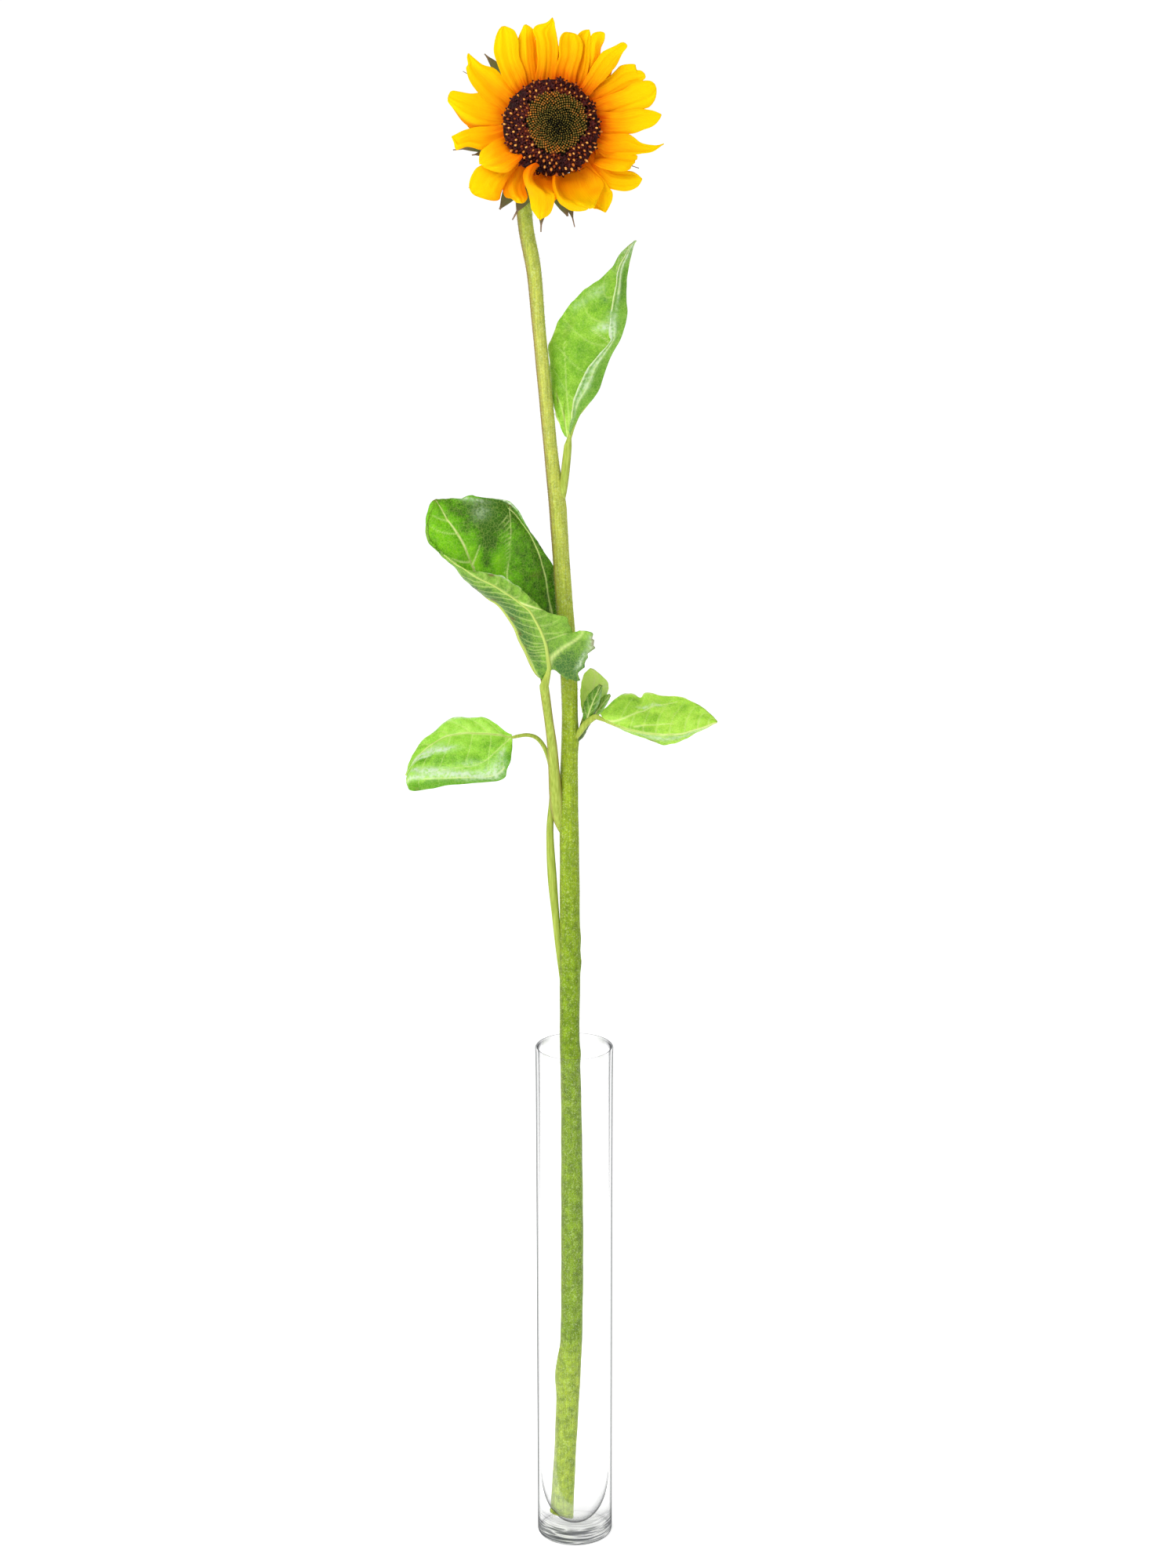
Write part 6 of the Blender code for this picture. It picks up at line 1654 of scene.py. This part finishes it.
floor_mesh = bpy.data.meshes.new("floor")
half = FLOOR_SIDE / 2
floor_mesh.from_pydata([(-half, -half, 0), (half, -half, 0), (half, half, 0), (-half, half, 0)],
                       [], [(0, 1, 2, 3)])
floor_mesh.materials.append(white_sweep())
floor = bpy.data.objects.new("floor", floor_mesh)
bpy.context.collection.objects.link(floor)

world = bpy.data.worlds.new("soft_studio")
bpy.context.scene.world = world
world.use_nodes = True
world.node_tree.nodes.clear()
add = partial(add_node, world.node_tree)
split = add("SeparateXYZ", links={"Vector": (add("TexCoord"), "Generated")})
sideways = add("Math", {"operation": "ABSOLUTE"}, {0: split})
strength = add("MapRange", {"From Min": 0.72, "From Max": 0.97, "To Min": SKY_STRENGTH,
                            "To Max": SIDE_STRENGTH}, {"Value": sideways})
light = add("Background", {"Color": "FFFFFF"}, {"Strength": strength})
add("OutputWorld", links={"Surface": light})

# a rectangular softbox, sizes in m and power in W, aimed at the upper half of the stem
KEY_AT, KEY_AIM = Vector((-1.1, -1.5, 2.0)), Vector((0.0, 0.0, 0.6))
KEY_SIZE, KEY_POWER = (1.6, 1.2), 36.0
key = bpy.data.lights.new("key_softbox", "AREA")
key.shape = "RECTANGLE"
key.size, key.size_y = KEY_SIZE
key.energy = KEY_POWER
key_at = bpy.data.objects.new("key_softbox", key)
key_at.location = KEY_AT
key_at.rotation_euler = (KEY_AIM - KEY_AT).to_track_quat("-Z", "Y").to_euler()
bpy.context.collection.objects.link(key_at)

CAMERA_AT = (0.00785, -1.773, 0.973)
CAMERA_PITCH = math.radians(90 - 16.07)
CAMERA_LENS, SENSOR_WIDTH = 75.85, 36.0      # mm
camera = bpy.data.cameras.new("camera")
camera.lens = CAMERA_LENS
camera.sensor_width = SENSOR_WIDTH
camera.clip_end = 200.0
camera_at = bpy.data.objects.new("camera", camera)
camera_at.location = CAMERA_AT
camera_at.rotation_euler = (CAMERA_PITCH, 0.0, 0.0)
bpy.context.collection.objects.link(camera_at)
bpy.context.scene.camera = camera_at
bpy.context.scene.view_settings.view_transform = "Standard"
